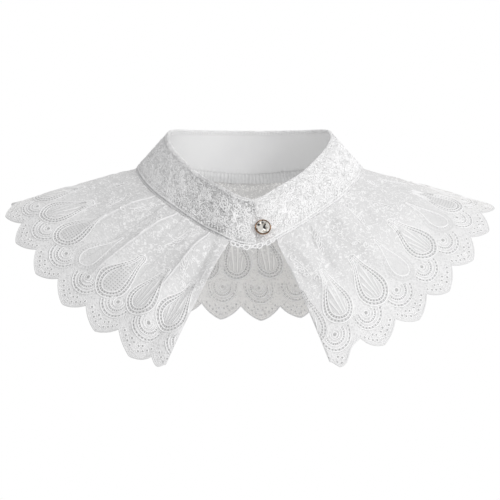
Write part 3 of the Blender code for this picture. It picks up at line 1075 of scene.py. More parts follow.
hem_share = np.linspace(0.0, 1.0, 14 * CAPE_COLUMNS // 8 + 1)
hem_line = cape_point(hem_share, LAST_V, LAWN_MIDDLE)
front_v = np.linspace(0.004, LAST_V, 90)
front_lines = []
for edge, side in ((0.0, 1), (1.0, -1)):
    for inset in (0.0, FRONT_HEM):
        across = side * inset / pitch_at(front_v) / SCALLOPS
        front_lines.append(cape_point(edge + across, front_v, LAWN_MIDDLE + (STITCH_LIFT if inset else 0.0)))
cape_hem = thread_piece("cape_hem_cord", [hem_line], HEM_CORD, sides=2)
cape_fronts = thread_piece("cape_front_cords", front_lines, FRONT_CORD, sides=2)
print("hem cord:", len(cape_hem.data.polygons), "faces")

# %% [markdown]
# ## The stand band
# The outer layer of the band is turned over its top edge and tucked in at the bottom and at its ends.
# The grid's rows go up the face, round the fold and a little way down inside, so the bright folded edge
# is real cloth.

# %% Band measures
BAND_COLUMNS = 420
END_ROLL = 0.0016


def band_height(turn):
    return np.linalg.norm(ring_point("seam", turn) - ring_point("top", turn), axis=-1)


def corner_drop(turn):
    """How far the rounded upper corner of the -X end lies below the top edge, in metres."""
    radius = STATIONS[0].top_r * MM
    short = np.clip(BAND_CORNER - np.radians(turn - BAND_FIRST) * radius, 0, BAND_CORNER)
    return BAND_CORNER - np.sqrt(BAND_CORNER ** 2 - short ** 2)


def end_roll(turn):
    """1 on the band, falling to 0 in a quarter round at its two ends."""
    radius = STATIONS[0].top_r * MM
    from_end = np.minimum(np.radians(turn - BAND_FIRST), np.radians(BAND_LAST - turn)) * radius
    t = np.clip(from_end / END_ROLL, 0, 1)
    return np.sqrt(1 - (1 - t) ** 2)


def band_columns(count):
    """Turns from end to end, closer together in the last stretch at each end."""
    even = np.linspace(BAND_FIRST, BAND_LAST, count - 15)
    near = np.linspace(0, 1, 9)[1:] ** 2 * (even[1] - even[0])
    return np.sort(np.concatenate([even, BAND_FIRST + near * 1.6, BAND_LAST - near * 1.6]))


print("band height at the back:", round(float(band_height(180.0)), 4), "m")

# %% Band mesh
FACE_ROWS = 26
ROLL_ROWS = 8
TUCK_ROWS = 2
BAND_CLOTH = 0.0005
FOLD_RADIUS = (BAND_FACE - 0.0001) / 2 - BAND_CLOTH / 2
TUCK_DEPTH = 0.0022
TUCK_INWARD = 0.0006
BELOW_SEAM = 0.0007
SEAM_ROLL = 0.0011

band_turns = band_columns(BAND_COLUMNS)
band_rows = FACE_ROWS + ROLL_ROWS + TUCK_ROWS
band_mesh, column, row = cloth_grid("band_outer", len(band_turns) - 1, band_rows)
turn = band_turns[column]
face_out = BAND_FACE - BAND_CLOTH / 2
fold_middle = face_out - FOLD_RADIUS
tall = band_height(turn)
fold_line = FOLD_RADIUS / tall + corner_drop(turn) / tall
tuck = row < TUCK_ROWS
face = row >= TUCK_ROWS + ROLL_ROWS
roll = ~tuck & ~face
tucked = 1 - row / TUCK_ROWS
swing = np.where(roll, (row - TUCK_ROWS) / ROLL_ROWS, 0.0) * pi
down = np.where(tuck, fold_line + TUCK_DEPTH * tucked / tall, fold_line)
down = np.where(roll, fold_line - np.sin(swing) * FOLD_RADIUS / tall, down)
face_share = (row - TUCK_ROWS - ROLL_ROWS) / FACE_ROWS
lower = 1 + BELOW_SEAM / tall
down = np.where(face, fold_line + (lower - fold_line) * face_share, down)
out = fold_middle - FOLD_RADIUS * np.cos(swing)
out = np.where(tuck, fold_middle - FOLD_RADIUS + TUCK_INWARD * tucked, out)
out = np.where(face, face_out, out)
from_seam = np.clip((lower - down) * tall / SEAM_ROLL, 0, 1)
seam_roll = np.sqrt(1 - (1 - from_seam) ** 2)
out = fold_middle + (out - fold_middle) * np.where(face, 0.15 + 0.85 * seam_roll, 1)
out = fold_middle + (out - fold_middle) * end_roll(turn)
move_vertices(band_mesh, band_point(turn, down, out))
print("band:", len(band_mesh.vertices), "vertices, folded edge", round(2000 * FOLD_RADIUS, 2), "mm across")

# %% Band map
MIDDLE_STEPS = 1561
middle_turns = np.linspace(-10, 380, MIDDLE_STEPS)
middle_way = way_along(band_base(middle_turns, np.full(MIDDLE_STEPS, 0.5))) / MM
corners = corner_vertices(band_mesh)
along = np.interp(turn, middle_turns, middle_way)
across = down * tall / MM
add_map(band_mesh, "band", along[corners], across[corners])
add_map(band_mesh, "rise", along[corners], ((1 - down) * tall / MM)[corners])
band = cloth_piece(band_mesh, BAND_CLOTH)
print("band map:", [layer.name for layer in band_mesh.uv_layers])

# %% [markdown]
# ## Scrolls on the band
# The band carries a dense vine: spirals, leaves and small flowers in corded thread, all ordinary
# whitework shapes. Each is a short function in flat millimetres, and a loop sets them side by side with
# small changes, so that no two repeats are quite alike.

# %% Places on the band
END_MARGIN = 2.2
TOP_MARGIN = 0.0032
SEAM_MARGIN = 0.0040
band_out = BAND_FACE - 0.00002
band_start = float(np.interp(BAND_FIRST, middle_turns, middle_way))
band_end = float(np.interp(BAND_LAST, middle_turns, middle_way))


def on_band(x, y, out):
    """Points of the band x mm along it and y mm below its top edge."""
    turn = np.interp(x, middle_way, middle_turns)
    v = y * MM / band_height(turn)
    inside = (x > band_start + END_MARGIN) & (x < band_end - END_MARGIN)
    inside &= y * MM > corner_drop(turn) + TOP_MARGIN
    inside &= v < 1 - SEAM_MARGIN / band_height(turn)
    return band_point(turn, v, out), inside


print("band, end to end:", round(band_end - band_start, 1), "mm")

# %% Band scrolls
REPEAT = 16.0
BAND_CORD = 0.00034
VINE_MIDDLE = 18.5
VINE_SPREAD = 6.5

band_shapes = []
for k in range(int((band_end - band_start) / REPEAT) + 1):
    x0 = band_start + 4 + k * REPEAT
    flip = 1 if k % 2 else -1
    high = VINE_MIDDLE - VINE_SPREAD * flip
    low = VINE_MIDDLE + VINE_SPREAD * flip
    band_shapes.append(spiral(x0 + 4, high, 4.0, 2.1, 40 * k))
    band_shapes.append(flower(x0 + 4, high, 5.0, 7, 25 * k))
    band_shapes.append(flower(x0 + 5, low, 3.3, 6, 30 * k))
    band_shapes.append(flower(x0 + 5, low, 1.5, 6, 0))
    band_shapes.append(spiral(x0 + 11, low + 2.5 * flip, 2.5, 1.4, 80 * k + 30))
    band_shapes.append(spiral(x0 + 10.5, high - 3.5 * flip, 2.2, 1.3, 55 * k))
    band_shapes.append(stem(x0 + 8, high + flip, 6.5, 10.5 * flip, 2.2 * flip))
    for lean, reach, grow in ((24, 0.0, 4.6), (70, 1.6, 4.2), (-30, 0.8, 4.4), (118, 3.0, 3.4)):
        foot = VINE_MIDDLE + (1.4 * reach - 2) * flip
        band_shapes.append(leaf(x0 + 9.5 + 0.4 * reach, foot, grow, 1.2, lean * flip))
    for lean in (-50, 10, 160, 220):
        beside = 3.6 * cos(radians(lean))
        above = 3.6 * sin(radians(lean))
        band_shapes.append(leaf(x0 + 5 + beside, low + above, 3.0, 0.9, lean))
band_lines = []
for x, y in band_shapes:
    place, inside = on_band(x, y, band_out)
    band_lines += inside_runs(place, inside)
band_scrolls = thread_piece("band_scroll_cords", band_lines, BAND_CORD)
print("scrolls:", len(band_lines), "lines,", len(band_scrolls.data.polygons), "faces")

# %% [markdown]
# The lower edge of the band is piped: a cord in the seam, and a second line of close stitches above it.
# A ladder of short bars runs beside it.

# %% Piping and ladder
PIPING = 0.00036
PIPE_INSET = 1.6
PIPES = ((0.15, BAND_FACE - 0.0006), (1.9, BAND_FACE - 0.0001))
LADDER_STEP = 2.3
LADDER_CORD = 0.00042
LADDER_RISES = (5.6, 3.0)
BAR_LEAN = 0.5

pipe_turns = np.linspace(BAND_FIRST + PIPE_INSET, BAND_LAST - PIPE_INSET, BAND_COLUMNS)
piping = [band_point(pipe_turns, 1 - rise * MM / band_height(pipe_turns), out) for rise, out in PIPES]
band_piping = thread_piece("band_piping", piping, PIPING)
bars = []
for x in np.arange(band_start + 4, band_end - 4, LADDER_STEP):
    turn_here = float(np.interp(x, middle_way, middle_turns))
    tall_here = float(band_height(np.array(turn_here))) / MM
    y = tall_here - np.linspace(*LADDER_RISES, 3)
    place, inside = on_band(x + BAR_LEAN * np.linspace(0, 1, 3), y, band_out)
    bars += inside_runs(place, inside)
band_bars = thread_piece("band_ladder_bars", bars, LADDER_CORD, sides=0)
print("ladder:", len(bars), "bars")

# %% [markdown]
# A few knotted loops hang from the lowest stretch of the band, where its two ends meet. Each is a small
# ring of cord, and a sine makes their sizes differ.

# %% Knotted loops
PICOTS = 10
PICOT_REACH = (-14.0, 10.0)
PICOT_CORD = 0.00050
PICOT_SIZE = 1.5
PICOT_CHANGE = 0.6

picots = []
for k, turn_here in enumerate(np.linspace(*PICOT_REACH, PICOTS)):
    size = PICOT_SIZE + PICOT_CHANGE * sin(2.4 * k)
    swing = np.linspace(0, 2 * pi, 9)
    turns = turn_here + np.degrees(size * MM * np.cos(swing) / (STATIONS[0].seam_r * MM))
    below = 1 + (0.5 * size + size * np.sin(swing)) * MM / band_height(turns)
    picots.append(band_point(turns % 360 if turn_here > 0 else turns, below, BAND_FACE - 0.0004))
band_picots = thread_piece("band_picots", picots, PICOT_CORD)
print("knotted loops:", len(picots))

# %% [markdown]
# ## The facing
# Inside, the band is plain cotton. It ripples a little above the seam where the gathered cape is caught
# in. The ripples are a sine along the seam, which noise makes uneven in height and spacing.

# %% Facing mesh
FACING_COLUMNS = 480
FACING_ROWS = 26
FACING_CLOTH = 0.0005
FACING_INSET = 0.6
RIPPLE_PITCH = 3.1
RIPPLE_HEIGHT = 0.00045
FACING_OUT = 0.00040
SOFTNESS = 0.00018
FACING_TOP = 0.0009
FACING_FOOT = 0.0005

facing_turns = np.linspace(BAND_FIRST + FACING_INSET, BAND_LAST - FACING_INSET, FACING_COLUMNS + 1)
facing_mesh, column, row = cloth_grid("band_lining", FACING_COLUMNS, FACING_ROWS)
turn = facing_turns[column]
tall = band_height(turn)
top_v = FACING_TOP / tall + corner_drop(turn) / tall
v = top_v + (1 + FACING_FOOT / tall - top_v) * row / FACING_ROWS
along = np.interp(turn, middle_turns, middle_way)
unevenness = np.array([noise.noise(Vector((a / 7.0, 3.0, 0.0))) for a in along])
ripple = np.sin(2 * pi * along / RIPPLE_PITCH + 2.2 * unevenness) * (0.7 + 0.5 * unevenness)
near_seam = smooth_step((v - 0.74) / 0.18)
soft = np.array([noise.noise(Vector((a / 22.0, b * 1.6, 5.0))) for a, b in zip(along, v)])
out = FACING_OUT + RIPPLE_HEIGHT * ripple * near_seam * 0.8 + SOFTNESS * soft
move_vertices(facing_mesh, band_point(turn, v, np.maximum(out, 0.0001)))
corners = corner_vertices(facing_mesh)
add_map(facing_mesh, "band", along[corners], (v * tall / MM)[corners])
facing = cloth_piece(facing_mesh, FACING_CLOTH)
print("facing:", len(facing_mesh.vertices), "vertices")

# %% [markdown]
# A gathered tape covers the seam on the inside. Its first two rows of points lie on the facing and the
# others on the cape's first few millimetres, so it bends over the seam as sewn tape does.

# %% Seam tape
TAPE_REACH = 0.034
TAPE_ROWS = 8
ON_FACING = 2
TAPE_STEP = 0.0018
TAPE_INWARD = 0.0003
TAPE_UNDER = 0.0007
TAPE_ENDS = (0.004, 0.996)

tape_mesh, column, row = cloth_grid("seam_tape", FACING_COLUMNS, TAPE_ROWS)
share = np.interp(column / FACING_COLUMNS, (0, 1), TAPE_ENDS)
start = cape_run(share)[4]
turn = seam_angle(share)
v = -start / (1 - start) + (TAPE_REACH + start / (1 - start)) * (row - ON_FACING) / (TAPE_ROWS - ON_FACING)
along = np.interp(turn, middle_turns, middle_way)
gather = np.sin(2 * pi * along / RIPPLE_PITCH) * RIPPLE_HEIGHT * 0.7
up_facing = 1 - TAPE_STEP * (ON_FACING - row) / band_height(turn)
on_facing = band_point(turn, up_facing, 0.5 * gather - TAPE_INWARD)
below = cape_point(share, v, gather - TAPE_UNDER)
move_vertices(tape_mesh, np.where((row < ON_FACING)[:, None], on_facing, below))
corners = corner_vertices(tape_mesh)
add_map(tape_mesh, "band", along[corners], (50 + 4 * row / TAPE_ROWS)[corners])
tape = cloth_piece(tape_mesh, FACING_CLOTH)
print("tape:", len(tape_mesh.vertices), "vertices")

# %% [markdown]
# A row of overlock loops shows under the folded top edge. Overlocking binds a raw edge with thread that
# runs up and down in V shapes, so each loop is five points of one V.

# %% Overlock loops
LOOP_PITCH = 2.4
LOOP_TOP = 0.3
LOOP_DEPTH = 2.6
LOOP_CORD = 0.00028
LOOP_OUT = -0.00012

loops = []
for x in np.arange(band_start + 4, band_end - 4, LOOP_PITCH):
    t = np.linspace(0, 1, 5)
    turn_here = np.interp(x + LOOP_PITCH * 0.5 * t, middle_way, middle_turns)
    y = LOOP_TOP + LOOP_DEPTH * np.abs(2 * t - 1) ** 0.8
    v_here = (y * MM + corner_drop(turn_here)) / band_height(turn_here)
    loops.append(band_point(turn_here, v_here, LOOP_OUT))
overlock = thread_piece("band_overlock", loops, LOOP_CORD, sides=0)
print("overlock loops:", len(loops))

# %% [markdown]
# ## The button
# A metal cup with a rounded rim holds a faceted glass stone. The cup is a profile spun round its axis.
# The stone's crown and girdle are rings of points, and a convex hull gives the flat facets between them.
# Spin leaves its faces in an order that changes from run to run, so they are sorted along one direction.

# %% Button frame
BUTTON_X = 0.0098
BUTTON_DROP = 0.69
BUTTON_RADIUS = 0.0058
RIM_RADIUS = 0.00042
CUP_HEIGHT = 0.0016
STONE_RADIUS = 0.0049
STONE_RISE = 0.0019
SHANK_RADIUS = 0.0012
SHANK_LENGTH = 0.0034
SORT_WAY = Vector((0.31, 0.57, 0.76))


def button_frame():
    """Matrix whose origin is where the shank leaves the band, with Z out of the band."""
    turn = np.array(360 - degrees(atan2(BUTTON_X, STATIONS[0].seam_r * MM)))
    foot = band_point(turn, BUTTON_DROP, BAND_FACE + SEAM_GAP)
    normal = Vector(band_normal(turn, BUTTON_DROP))
    side = Vector((0, 0, 1)).cross(normal).normalized()
    matrix = Matrix((side, normal.cross(side), normal)).transposed().to_4x4()
    matrix.translation = Vector(foot)
    return matrix


def spun(name, profile, steps):
    """A turned mesh on the button's frame from (radius, height) points, from its top outwards and down."""
    bm = bmesh.new()
    verts = [bm.verts.new((r, 0, h)) for r, h in profile]
    edges = [bm.edges.new(pair) for pair in zip(verts, verts[1:])]
    bmesh.ops.spin(bm, geom=verts + edges, axis=(0, 0, 1), cent=(0, 0, 0), steps=steps,
                   angle=2 * pi, use_merge=True)
    bmesh.ops.remove_doubles(bm, verts=bm.verts, dist=0.000002)
    bmesh.ops.recalc_face_normals(bm, faces=bm.faces)
    bm.verts.sort(key=lambda vert: vert.co.dot(SORT_WAY))
    bm.faces.sort(key=lambda face: face.calc_center_median().dot(SORT_WAY))
    bmesh.ops.transform(bm, matrix=button_frame(), verts=bm.verts)
    mesh = finished_mesh(name, bm)
    mesh.shade_smooth()
    return mesh


# %% Rim and stone
RIM_STEPS = 72
cup_floor = SHANK_LENGTH + CUP_HEIGHT * 0.45
rim_middle = SHANK_LENGTH + CUP_HEIGHT - RIM_RADIUS
profile = [(0.0, cup_floor), (BUTTON_RADIUS - 2 * RIM_RADIUS, cup_floor)]
for turn_at in range(170, -110, -20):
    across = BUTTON_RADIUS - RIM_RADIUS + RIM_RADIUS * cos(radians(turn_at))
    profile.append((across, rim_middle + RIM_RADIUS * sin(radians(turn_at))))
profile += [(BUTTON_RADIUS * 0.72, SHANK_LENGTH), (SHANK_RADIUS * 1.3, SHANK_LENGTH - 0.0002)]
profile += [(SHANK_RADIUS, SHANK_LENGTH - 0.0006), (SHANK_RADIUS, 0.0), (0.0, 0.0)]
rim = add_object("button_rim_fine", spun("button_rim_fine", profile, RIM_STEPS))

Ring = namedtuple("Ring", "radius height count offset")
table_height = SHANK_LENGTH + CUP_HEIGHT + STONE_RISE
stone_seat = cup_floor + SEAM_GAP
STONE_RINGS = [
    Ring(STONE_RADIUS * 0.50, table_height, 8, 0.0),
    Ring(STONE_RADIUS * 0.78, table_height - STONE_RISE * 0.36, 8, 0.5),
    Ring(STONE_RADIUS, table_height - STONE_RISE * 0.92, 16, 0.5),
    Ring(STONE_RADIUS * 0.98, table_height - STONE_RISE * 1.05, 16, 0.5),
    Ring(STONE_RADIUS * 0.45, stone_seat, 8, 0.0),
]
bm = bmesh.new()
for ring in STONE_RINGS:
    for k in range(ring.count):
        angle = 2 * pi * (k + ring.offset) / ring.count
        bm.verts.new((ring.radius * cos(angle), ring.radius * sin(angle), ring.height))
bmesh.ops.convex_hull(bm, input=bm.verts)
bmesh.ops.recalc_face_normals(bm, faces=bm.faces)
bmesh.ops.transform(bm, matrix=button_frame(), verts=bm.verts)
stone = add_object("button_stone_cut", finished_mesh("button_stone_cut", bm))
print("stone facets:", len(stone.data.polygons))

# %% [markdown]
# ## Effects shared by several cloths
# Three node groups draw what the cloths have in common: a fine plain weave, the uneven tone of washed
# cotton, and the uneven twist of thread. They give out heights and a colour; each material scales the
# heights to millimetres and turns them into bump.

# %% Group helpers
def new_group(name, inputs, outputs):
    """An empty shader group; each socket is given with its kind: Float, Vector or Color."""
    tree = bpy.data.node_groups.new(name, "ShaderNodeTree")
    for direction, sockets in (("INPUT", inputs), ("OUTPUT", outputs)):
        for label, kind in sockets.items():
            tree.interface.new_socket(label, in_out=direction, socket_type="NodeSocket" + kind)
    book = NodeBook(tree)
    return tree, book, book.node("NodeGroupInput").outputs


def use_group(book, tree, **inputs):
    made = book.tree.nodes.new("ShaderNodeGroup")
    made.node_tree = tree
    for key, value in inputs.items():
        book.feed(made.inputs[key], value)
    return made.outputs


# %% Weave
SLUB_SCALE = 0.7
weave, book, source = new_group("plain_weave", {"Place": "Vector", "Thread": "Float"}, {"Height": "Float"})
both_ways = [book.math("SINE", book.math("DIVIDE", book.times(way, pi), source["Thread"]))
             for way in book.split(source["Place"])[:2]]
slubs = book.noise(source["Place"], SLUB_SCALE)
book.node("NodeGroupOutput", {"Height": book.plus(book.times(*both_ways, 0.5), slubs)})

# %% Cotton tone
TONE_SCALE = 28.0
tone, book, source = new_group("cotton_tone", {"Place": "Vector", "Base": "Color", "Shade": "Color"},
                               {"Color": "Color"})
patch = book.ramp(book.noise(source["Place"], TONE_SCALE, 3.0), 0.35, 0.70)
book.node("NodeGroupOutput", {"Color": book.mix(patch, source["Base"], source["Shade"])})

# %% Twist of thread
satin, book, source = new_group("satin_stitch", {"Place": "Vector", "Size": "Float"}, {"Height": "Float"})
book.node("NodeGroupOutput", {"Height": book.noise(source["Place"], source["Size"])})
print("groups:", weave.name, tone.name, satin.name)

# %% [markdown]
# ## Lace on the cape
# One group reads the cape's maps in millimetres and draws everything that is too small for the mesh: the
# eyelets between the drop's lines, its filling of bars or lattice, the hole of each worked eyelet, the
# stitches of the edge and the ground between them. It gives out masks and one height.

# %% Lace group: its maps
LADDER_PITCH = 2.2
lace, book, source = new_group(
    "cape_lace",
    {name: "Vector" for name in ("Drop", "Axis", "Fan", "Hem", "Fill")},
    {name: "Float" for name in ("Holes", "Height", "Satin", "Sunk")},
)
way, ring = book.split(source["Drop"])[:2]
axis_x, axis_y = book.split(source["Axis"])[:2]
fan_x, fan_y = book.split(source["Fan"])[:2]
hem_way, hem_in = book.split(source["Hem"])[:2]
lattice_here, plain_here = book.split(source["Fill"])[:2]
is_lattice = book.ramp(lattice_here, 0.4, 0.6)
worked = book.ramp(plain_here, 0.4, 0.6, 1.0, 0.0)


def holes_along(book, way, across, centre, long, wide):
    """A row of small oval holes, long and wide in mm: 1 in a hole, 0 on the cloth."""
    cell = book.math("FRACT", book.math("DIVIDE", way, LADDER_PITCH))
    along = book.times(book.less(cell, 0.5), LADDER_PITCH / long)
    beside = book.math("DIVIDE", book.less(across, centre), wide)
    square = book.plus(book.times(along, along), book.times(beside, beside))
    return book.ramp(square, 0.55, 1.35, 1.0, 0.0)


# %% [markdown]
# Between its corded lines a drop has two rows of small eyelets. Inside, some drops have a lattice of
# holes and others have bars that fan out, and both are sines turned into masks.

# %% Lace group: eyelets and fillings of a drop
INNER_ROW = 1.25
OUTER_ROW = 3.7
LATTICE_PITCH = 2.1
BAR_PITCH = 2.6
BAR_REACH = 22.0

page = book.math("ROUND", book.math("DIVIDE", axis_x, DROP_PAGE))
from_axis = book.less(axis_x, book.times(page, DROP_PAGE))
in_drop = book.times(book.ramp(ring, -1.3, -0.6, 1.0, 0.0), worked)
inner_row = book.times(holes_along(book, way, ring, INNER_ROW, 0.55, 0.62), worked)
outer_row = book.times(holes_along(book, way, ring, OUTER_ROW, 0.52, 0.55), worked)
squares = [book.ramp(book.wave(across, LATTICE_PITCH), 0.1, 0.8) for across in (from_axis, axis_y)]
lattice = book.times(*squares, is_lattice, in_drop)
fanned = book.math("ARCTAN2", from_axis, book.plus(book.less(axis_y, DROP_CENTRE), BAR_REACH))
bars_fill = book.ramp(book.wave(fanned, BAR_PITCH / BAR_REACH), -0.2, 0.7)
bars_fill = book.times(bars_fill, in_drop, book.flipped(is_lattice))

# %% [markdown]
# A scallop has eyelets between the arcs of its fan and one inside each ring of thread. Its map is folded
# at the middle, so one list of eyelets serves both sides.

# %% Lace group: eyelets of a scallop
FAN_ROWS = (7.05, 11.6)
FAN_TURN_RADIUS = 9.0
HOLE = 0.50
HOLE_EDGE = 0.45

fan_radius = book.math("SQRT", book.plus(book.times(fan_x, fan_x), book.times(fan_y, fan_y)))
fan_turn = book.math("ARCTAN2", fan_x, book.times(fan_y, -1.0))
fan_open = book.ramp(book.math("ABSOLUTE", fan_turn), 1.75, 1.95, 1.0, 0.0)
outside = book.ramp(ring, 6.3, 7.0)
fan_way = book.times(fan_turn, FAN_TURN_RADIUS)
fan_rows = [holes_along(book, fan_way, fan_radius, middle, HOLE, HOLE) for middle in FAN_ROWS]
fan_row = book.times(book.most(*fan_rows), fan_open, outside)
eyelets = book.ramp(fan_radius, 0.95, 1.35, 1.0, 0.0)
folded = book.node("ShaderNodeCombineXYZ", {0: book.math("ABSOLUTE", fan_x), 1: fan_y}).outputs[0]
for x, h in EYELETS:
    away = book.node("ShaderNodeVectorMath", {0: folded, 1: (x, h - FAN_HEIGHT, 0)}, operation="DISTANCE")
    eyelets = book.most(eyelets, book.ramp(away.outputs["Value"], HOLE, HOLE + HOLE_EDGE, 1.0, 0.0))
on_cloth = book.ramp(hem_in, 1.2, 2.2)
holes = book.times(book.most(inner_row, outer_row, lattice, fan_row, eyelets), on_cloth)

# %% [markdown]
# Between the motifs the ground is a fine net low down and loose strokes of thread higher up. The lines
# of the cords are drawn in the cloth as well, so that a cord looks stitched down and not laid on.

# %% Lace group: ground and strokes
NET_SCALE = 0.42
DRIFT_SCALE = 0.42
CLOUD_SCALE = 0.16
EDGE_STITCH = 0.9
LINE_SEEN = 0.5

net = book.ramp(book.cells(source["Axis"], NET_SCALE, "DISTANCE_TO_EDGE"), 0.08, 0.34)
low_down = book.ramp(axis_y, 30.0, 62.0, 1.0, 0.0)
high_up = book.ramp(axis_y, 26.0, 50.0)
netting = book.times(net, low_down, book.most(book.ramp(ring, 4.6, 5.4), book.flipped(worked)))
drift = book.noise(source["Axis"], DRIFT_SCALE, 3.0, 1.4)
clouds = book.noise(source["Axis"], CLOUD_SCALE, 2.0, 0.8)
dents = [book.ramp(drift, 0.38, 0.52, 1.0, 0.0), book.ramp(clouds, 0.36, 0.56, 1.0, 0.0), 0.95]
dents = book.times(book.most(*dents), high_up)
strokes = book.times(book.ramp(drift, 0.53, 0.60), high_up)
edge = book.ramp(hem_in, 1.4, 2.1, 1.0, 0.0)
in_rows = book.times(book.ramp(ring, 2.2, 2.8, 1.0, 0.0), book.ramp(ring, -0.2, 0.2))
rungs = book.math("COSINE", book.times(way, 2 * pi / LADDER_PITCH))
groove = book.line(ring, 3.8, 0.8)
lines_seen = [book.line(ring, middle, LINE_SEEN) for middle in DROP_LINES + (DROP_OUTLINE,)]
arcs_seen = [book.line(fan_radius, middle, LINE_SEEN) for middle in FAN_ARCS]
lines_seen = book.times(book.most(*lines_seen), worked)
lines_seen = book.most(lines_seen, book.times(book.most(*arcs_seen), fan_open, outside))

# %% Lace group: what it gives out
relief = book.weighted([
    (book.times(rungs, in_rows), 0.16),
    (bars_fill, 0.45),
    (book.times(edge, book.wave(hem_way, EDGE_STITCH)), 0.10),
    (edge, 0.15),
    (netting, -0.20),
    (drift, 0.55),
    (groove, -0.14),
    (holes, -0.26),
    (lines_seen, 0.40),
])
between_bars = book.times(in_drop, book.flipped(bars_fill))
left_plain = book.times(book.ramp(ring, -1.0, 0.5, 0.8, 0.0), book.flipped(worked))
# Painted shade is laid where the ground is sunk: grooves, eyelet rows, between bars, plain drops, dents high
# up and the cells of the net.
sunk = book.most(groove, book.times(in_rows, 0.62), between_bars, left_plain, dents, netting)
raised = book.most(edge, bars_fill, strokes, lines_seen)
book.node("NodeGroupOutput", {"Holes": holes, "Height": relief, "Satin": raised, "Sunk": sunk})
print("lace group:", len(lace.nodes), "nodes")

# %% [markdown]
# ## Materials
# Cotton is matt with a soft sheen at its edges. Its colour starts from the tone group, and layers of
# other tones are laid over it by mask: sunk ground gets painted shade because less light gets back out of
# it, thread is whiter, and a hole shows the shadow behind the cloth, painted in its colour. Other masks
# add painted light and painted shade to the sides, the back and the fold crests. A relief in millimetres
# becomes bump.

# %% Cotton tones
WHITE = (0.82, 0.817, 0.82, 1)
SHADE = (0.775, 0.772, 0.775, 1)
# Painted shade: the tone laid in hollows, tucks and near the band.
PAINTED_SHADE = (0.62, 0.618, 0.62, 1)
HOLE_SHADE = (0.47, 0.47, 0.47, 1)
# Painted light: the back of the cape gets whiter cloth and thread than the front.
BACK_PAINTED_LIGHT = (0.89, 0.876, 0.855, 1)
BACK_THREAD_PAINTED_LIGHT = (1.0, 0.99, 0.975, 1)
THREAD = (0.94, 0.937, 0.94, 1)
THREAD_SHADE = (0.90, 0.897, 0.90, 1)
EDGE_THREAD = (0.80, 0.798, 0.80, 1)
EDGE_SHADE = (0.74, 0.738, 0.74, 1)
BAND_WHITE = (0.95, 0.947, 0.95, 1)
BAND_SHADE = (0.92, 0.917, 0.92, 1)
BAND_THREAD = (0.97, 0.967, 0.97, 1)
# Painted shade on the band.
BAND_PAINTED_SHADE = (0.56, 0.56, 0.57, 1)
# Painted shadow seen through the band's holes.
BAND_HOLE_SHADE = (0.38, 0.38, 0.38, 1)
PLAIN = (0.80, 0.80, 0.80, 1)
PLAIN_SHADE = (0.77, 0.77, 0.775, 1)
LAWN_THREAD = 0.36
PLAIN_THREAD = 0.40
WEAVE_RELIEF = 0.035


# %% Material helpers
def new_material(name):
    material = bpy.data.materials.new(name)
    material.use_nodes = True
    return material, NodeBook(material.node_tree), material.node_tree.nodes["Principled BSDF"]


def set_shader(shader, **values):
    """Plain numbers on the shader's own sockets; an underscore stands for a space."""
    for label, value in values.items():
        shader.inputs[label.replace("_", " ")].default_value = value


def finish_cotton(book, shader, colour, height, roughness=0.85, sheen=0.25):
    """Feeds a colour and a relief in mm, and sets a matt cloth."""
    book.feed(shader.inputs["Base Color"], colour)
    bump = book.node("ShaderNodeBump", {"Height": height, "Distance": MM, "Strength": 1.0})
    book.feed(shader.inputs["Normal"], bump.outputs[0])
    set_shader(shader, Roughness=roughness, Sheen_Weight=sheen, Sheen_Roughness=0.5, Specular_IOR_Level=0.25)


# %% Cape cloth
BACK_EASE = 0.05
SIDE_EASE = 0.02
cape_cloth, book, shader = new_material("cape_cotton")
maps = {name.capitalize(): book.uv(name) for name in ("drop", "axis", "fan", "hem", "fill")}
drawn = use_group(book, lace, **maps)
threads = use_group(book, weave, Place=maps["Axis"], Thread=LAWN_THREAD)["Height"]
place = book.place()
ground = use_group(book, tone, Place=place, Base=WHITE, Shade=SHADE)["Color"]
aside, deep = book.split(place)[:2]
near_band = book.ramp(book.split(maps["Axis"])[1], 44.0, 66.0)
crest_side, crest_strength = book.split(book.uv("crest"))[:2]
crest_line = book.times(book.ramp(book.math("ABSOLUTE", crest_side), 0.4, 1.6, 1.0, 0.0), crest_strength)
hollow = [book.ramp(crest_side, -5.0, -0.5), book.ramp(crest_side, -0.6, 0.2, 1.0, 0.0), crest_strength]


def to_back(front, back):
    """A share that eases from its value in front to its value behind."""
    return book.ramp(deep, 0.0, BACK_EASE, front, back)


def to_side(minus_x, plus_x):
    return book.ramp(aside, -SIDE_EASE, SIDE_EASE, minus_x, plus_x)


colour = book.layers(ground, [
    # painted light: the back is whiter, with whiter raised thread and fainter holes
    (to_back(0.0, 0.85), BACK_PAINTED_LIGHT),
    # painted shade on the upper cape near the band, stronger on the -X side, and painted light on the lower
    # -X side
    (book.times(near_band, to_side(0.34, 0.18)), PAINTED_SHADE),
    (book.times(book.flipped(near_band), to_side(0.25, 0.0)), THREAD),
    # painted shade in the sunk places that the lace group marks
    (book.times(drawn["Sunk"], to_back(0.42, 0.34)), PAINTED_SHADE),
    (book.times(drawn["Satin"], to_back(0.75, 0.95)), book.mix(to_back(0.0, 1.0), THREAD, BACK_THREAD_PAINTED_LIGHT)),
    # painted highlight on the sharpest crests, and painted shade in the hollow beside each
    (crest_line, THREAD),
    (book.times(*hollow, 0.42), PAINTED_SHADE),
    (book.times(drawn["Holes"], to_back(0.85, 0.50)), HOLE_SHADE),
])
relief = book.plus(drawn["Height"], book.times(threads, WEAVE_RELIEF), book.times(crest_line, 0.7))
finish_cotton(book, shader, colour, relief)
print("cape material:", len(cape_cloth.node_tree.nodes), "nodes")

# %% [markdown]
# The band's cloth is denser. On its -X half the embroidery is open, so small cuts, gaps and specks show
# between the threads, and that half and its gaps get painted shade. Only the lower corner of its end is
# closed again.

# %% Band cloth
OPEN_UNTIL = 120.0
OPEN_EASE = 60.0
CROWDED = (48.0, 84.0)
VINE_SCALE = 0.66
CHANCE_SCALE = 0.10
GAP_SCALE = 0.60
SPECK_SCALE = 0.55
STITCH_SCALE = 0.62

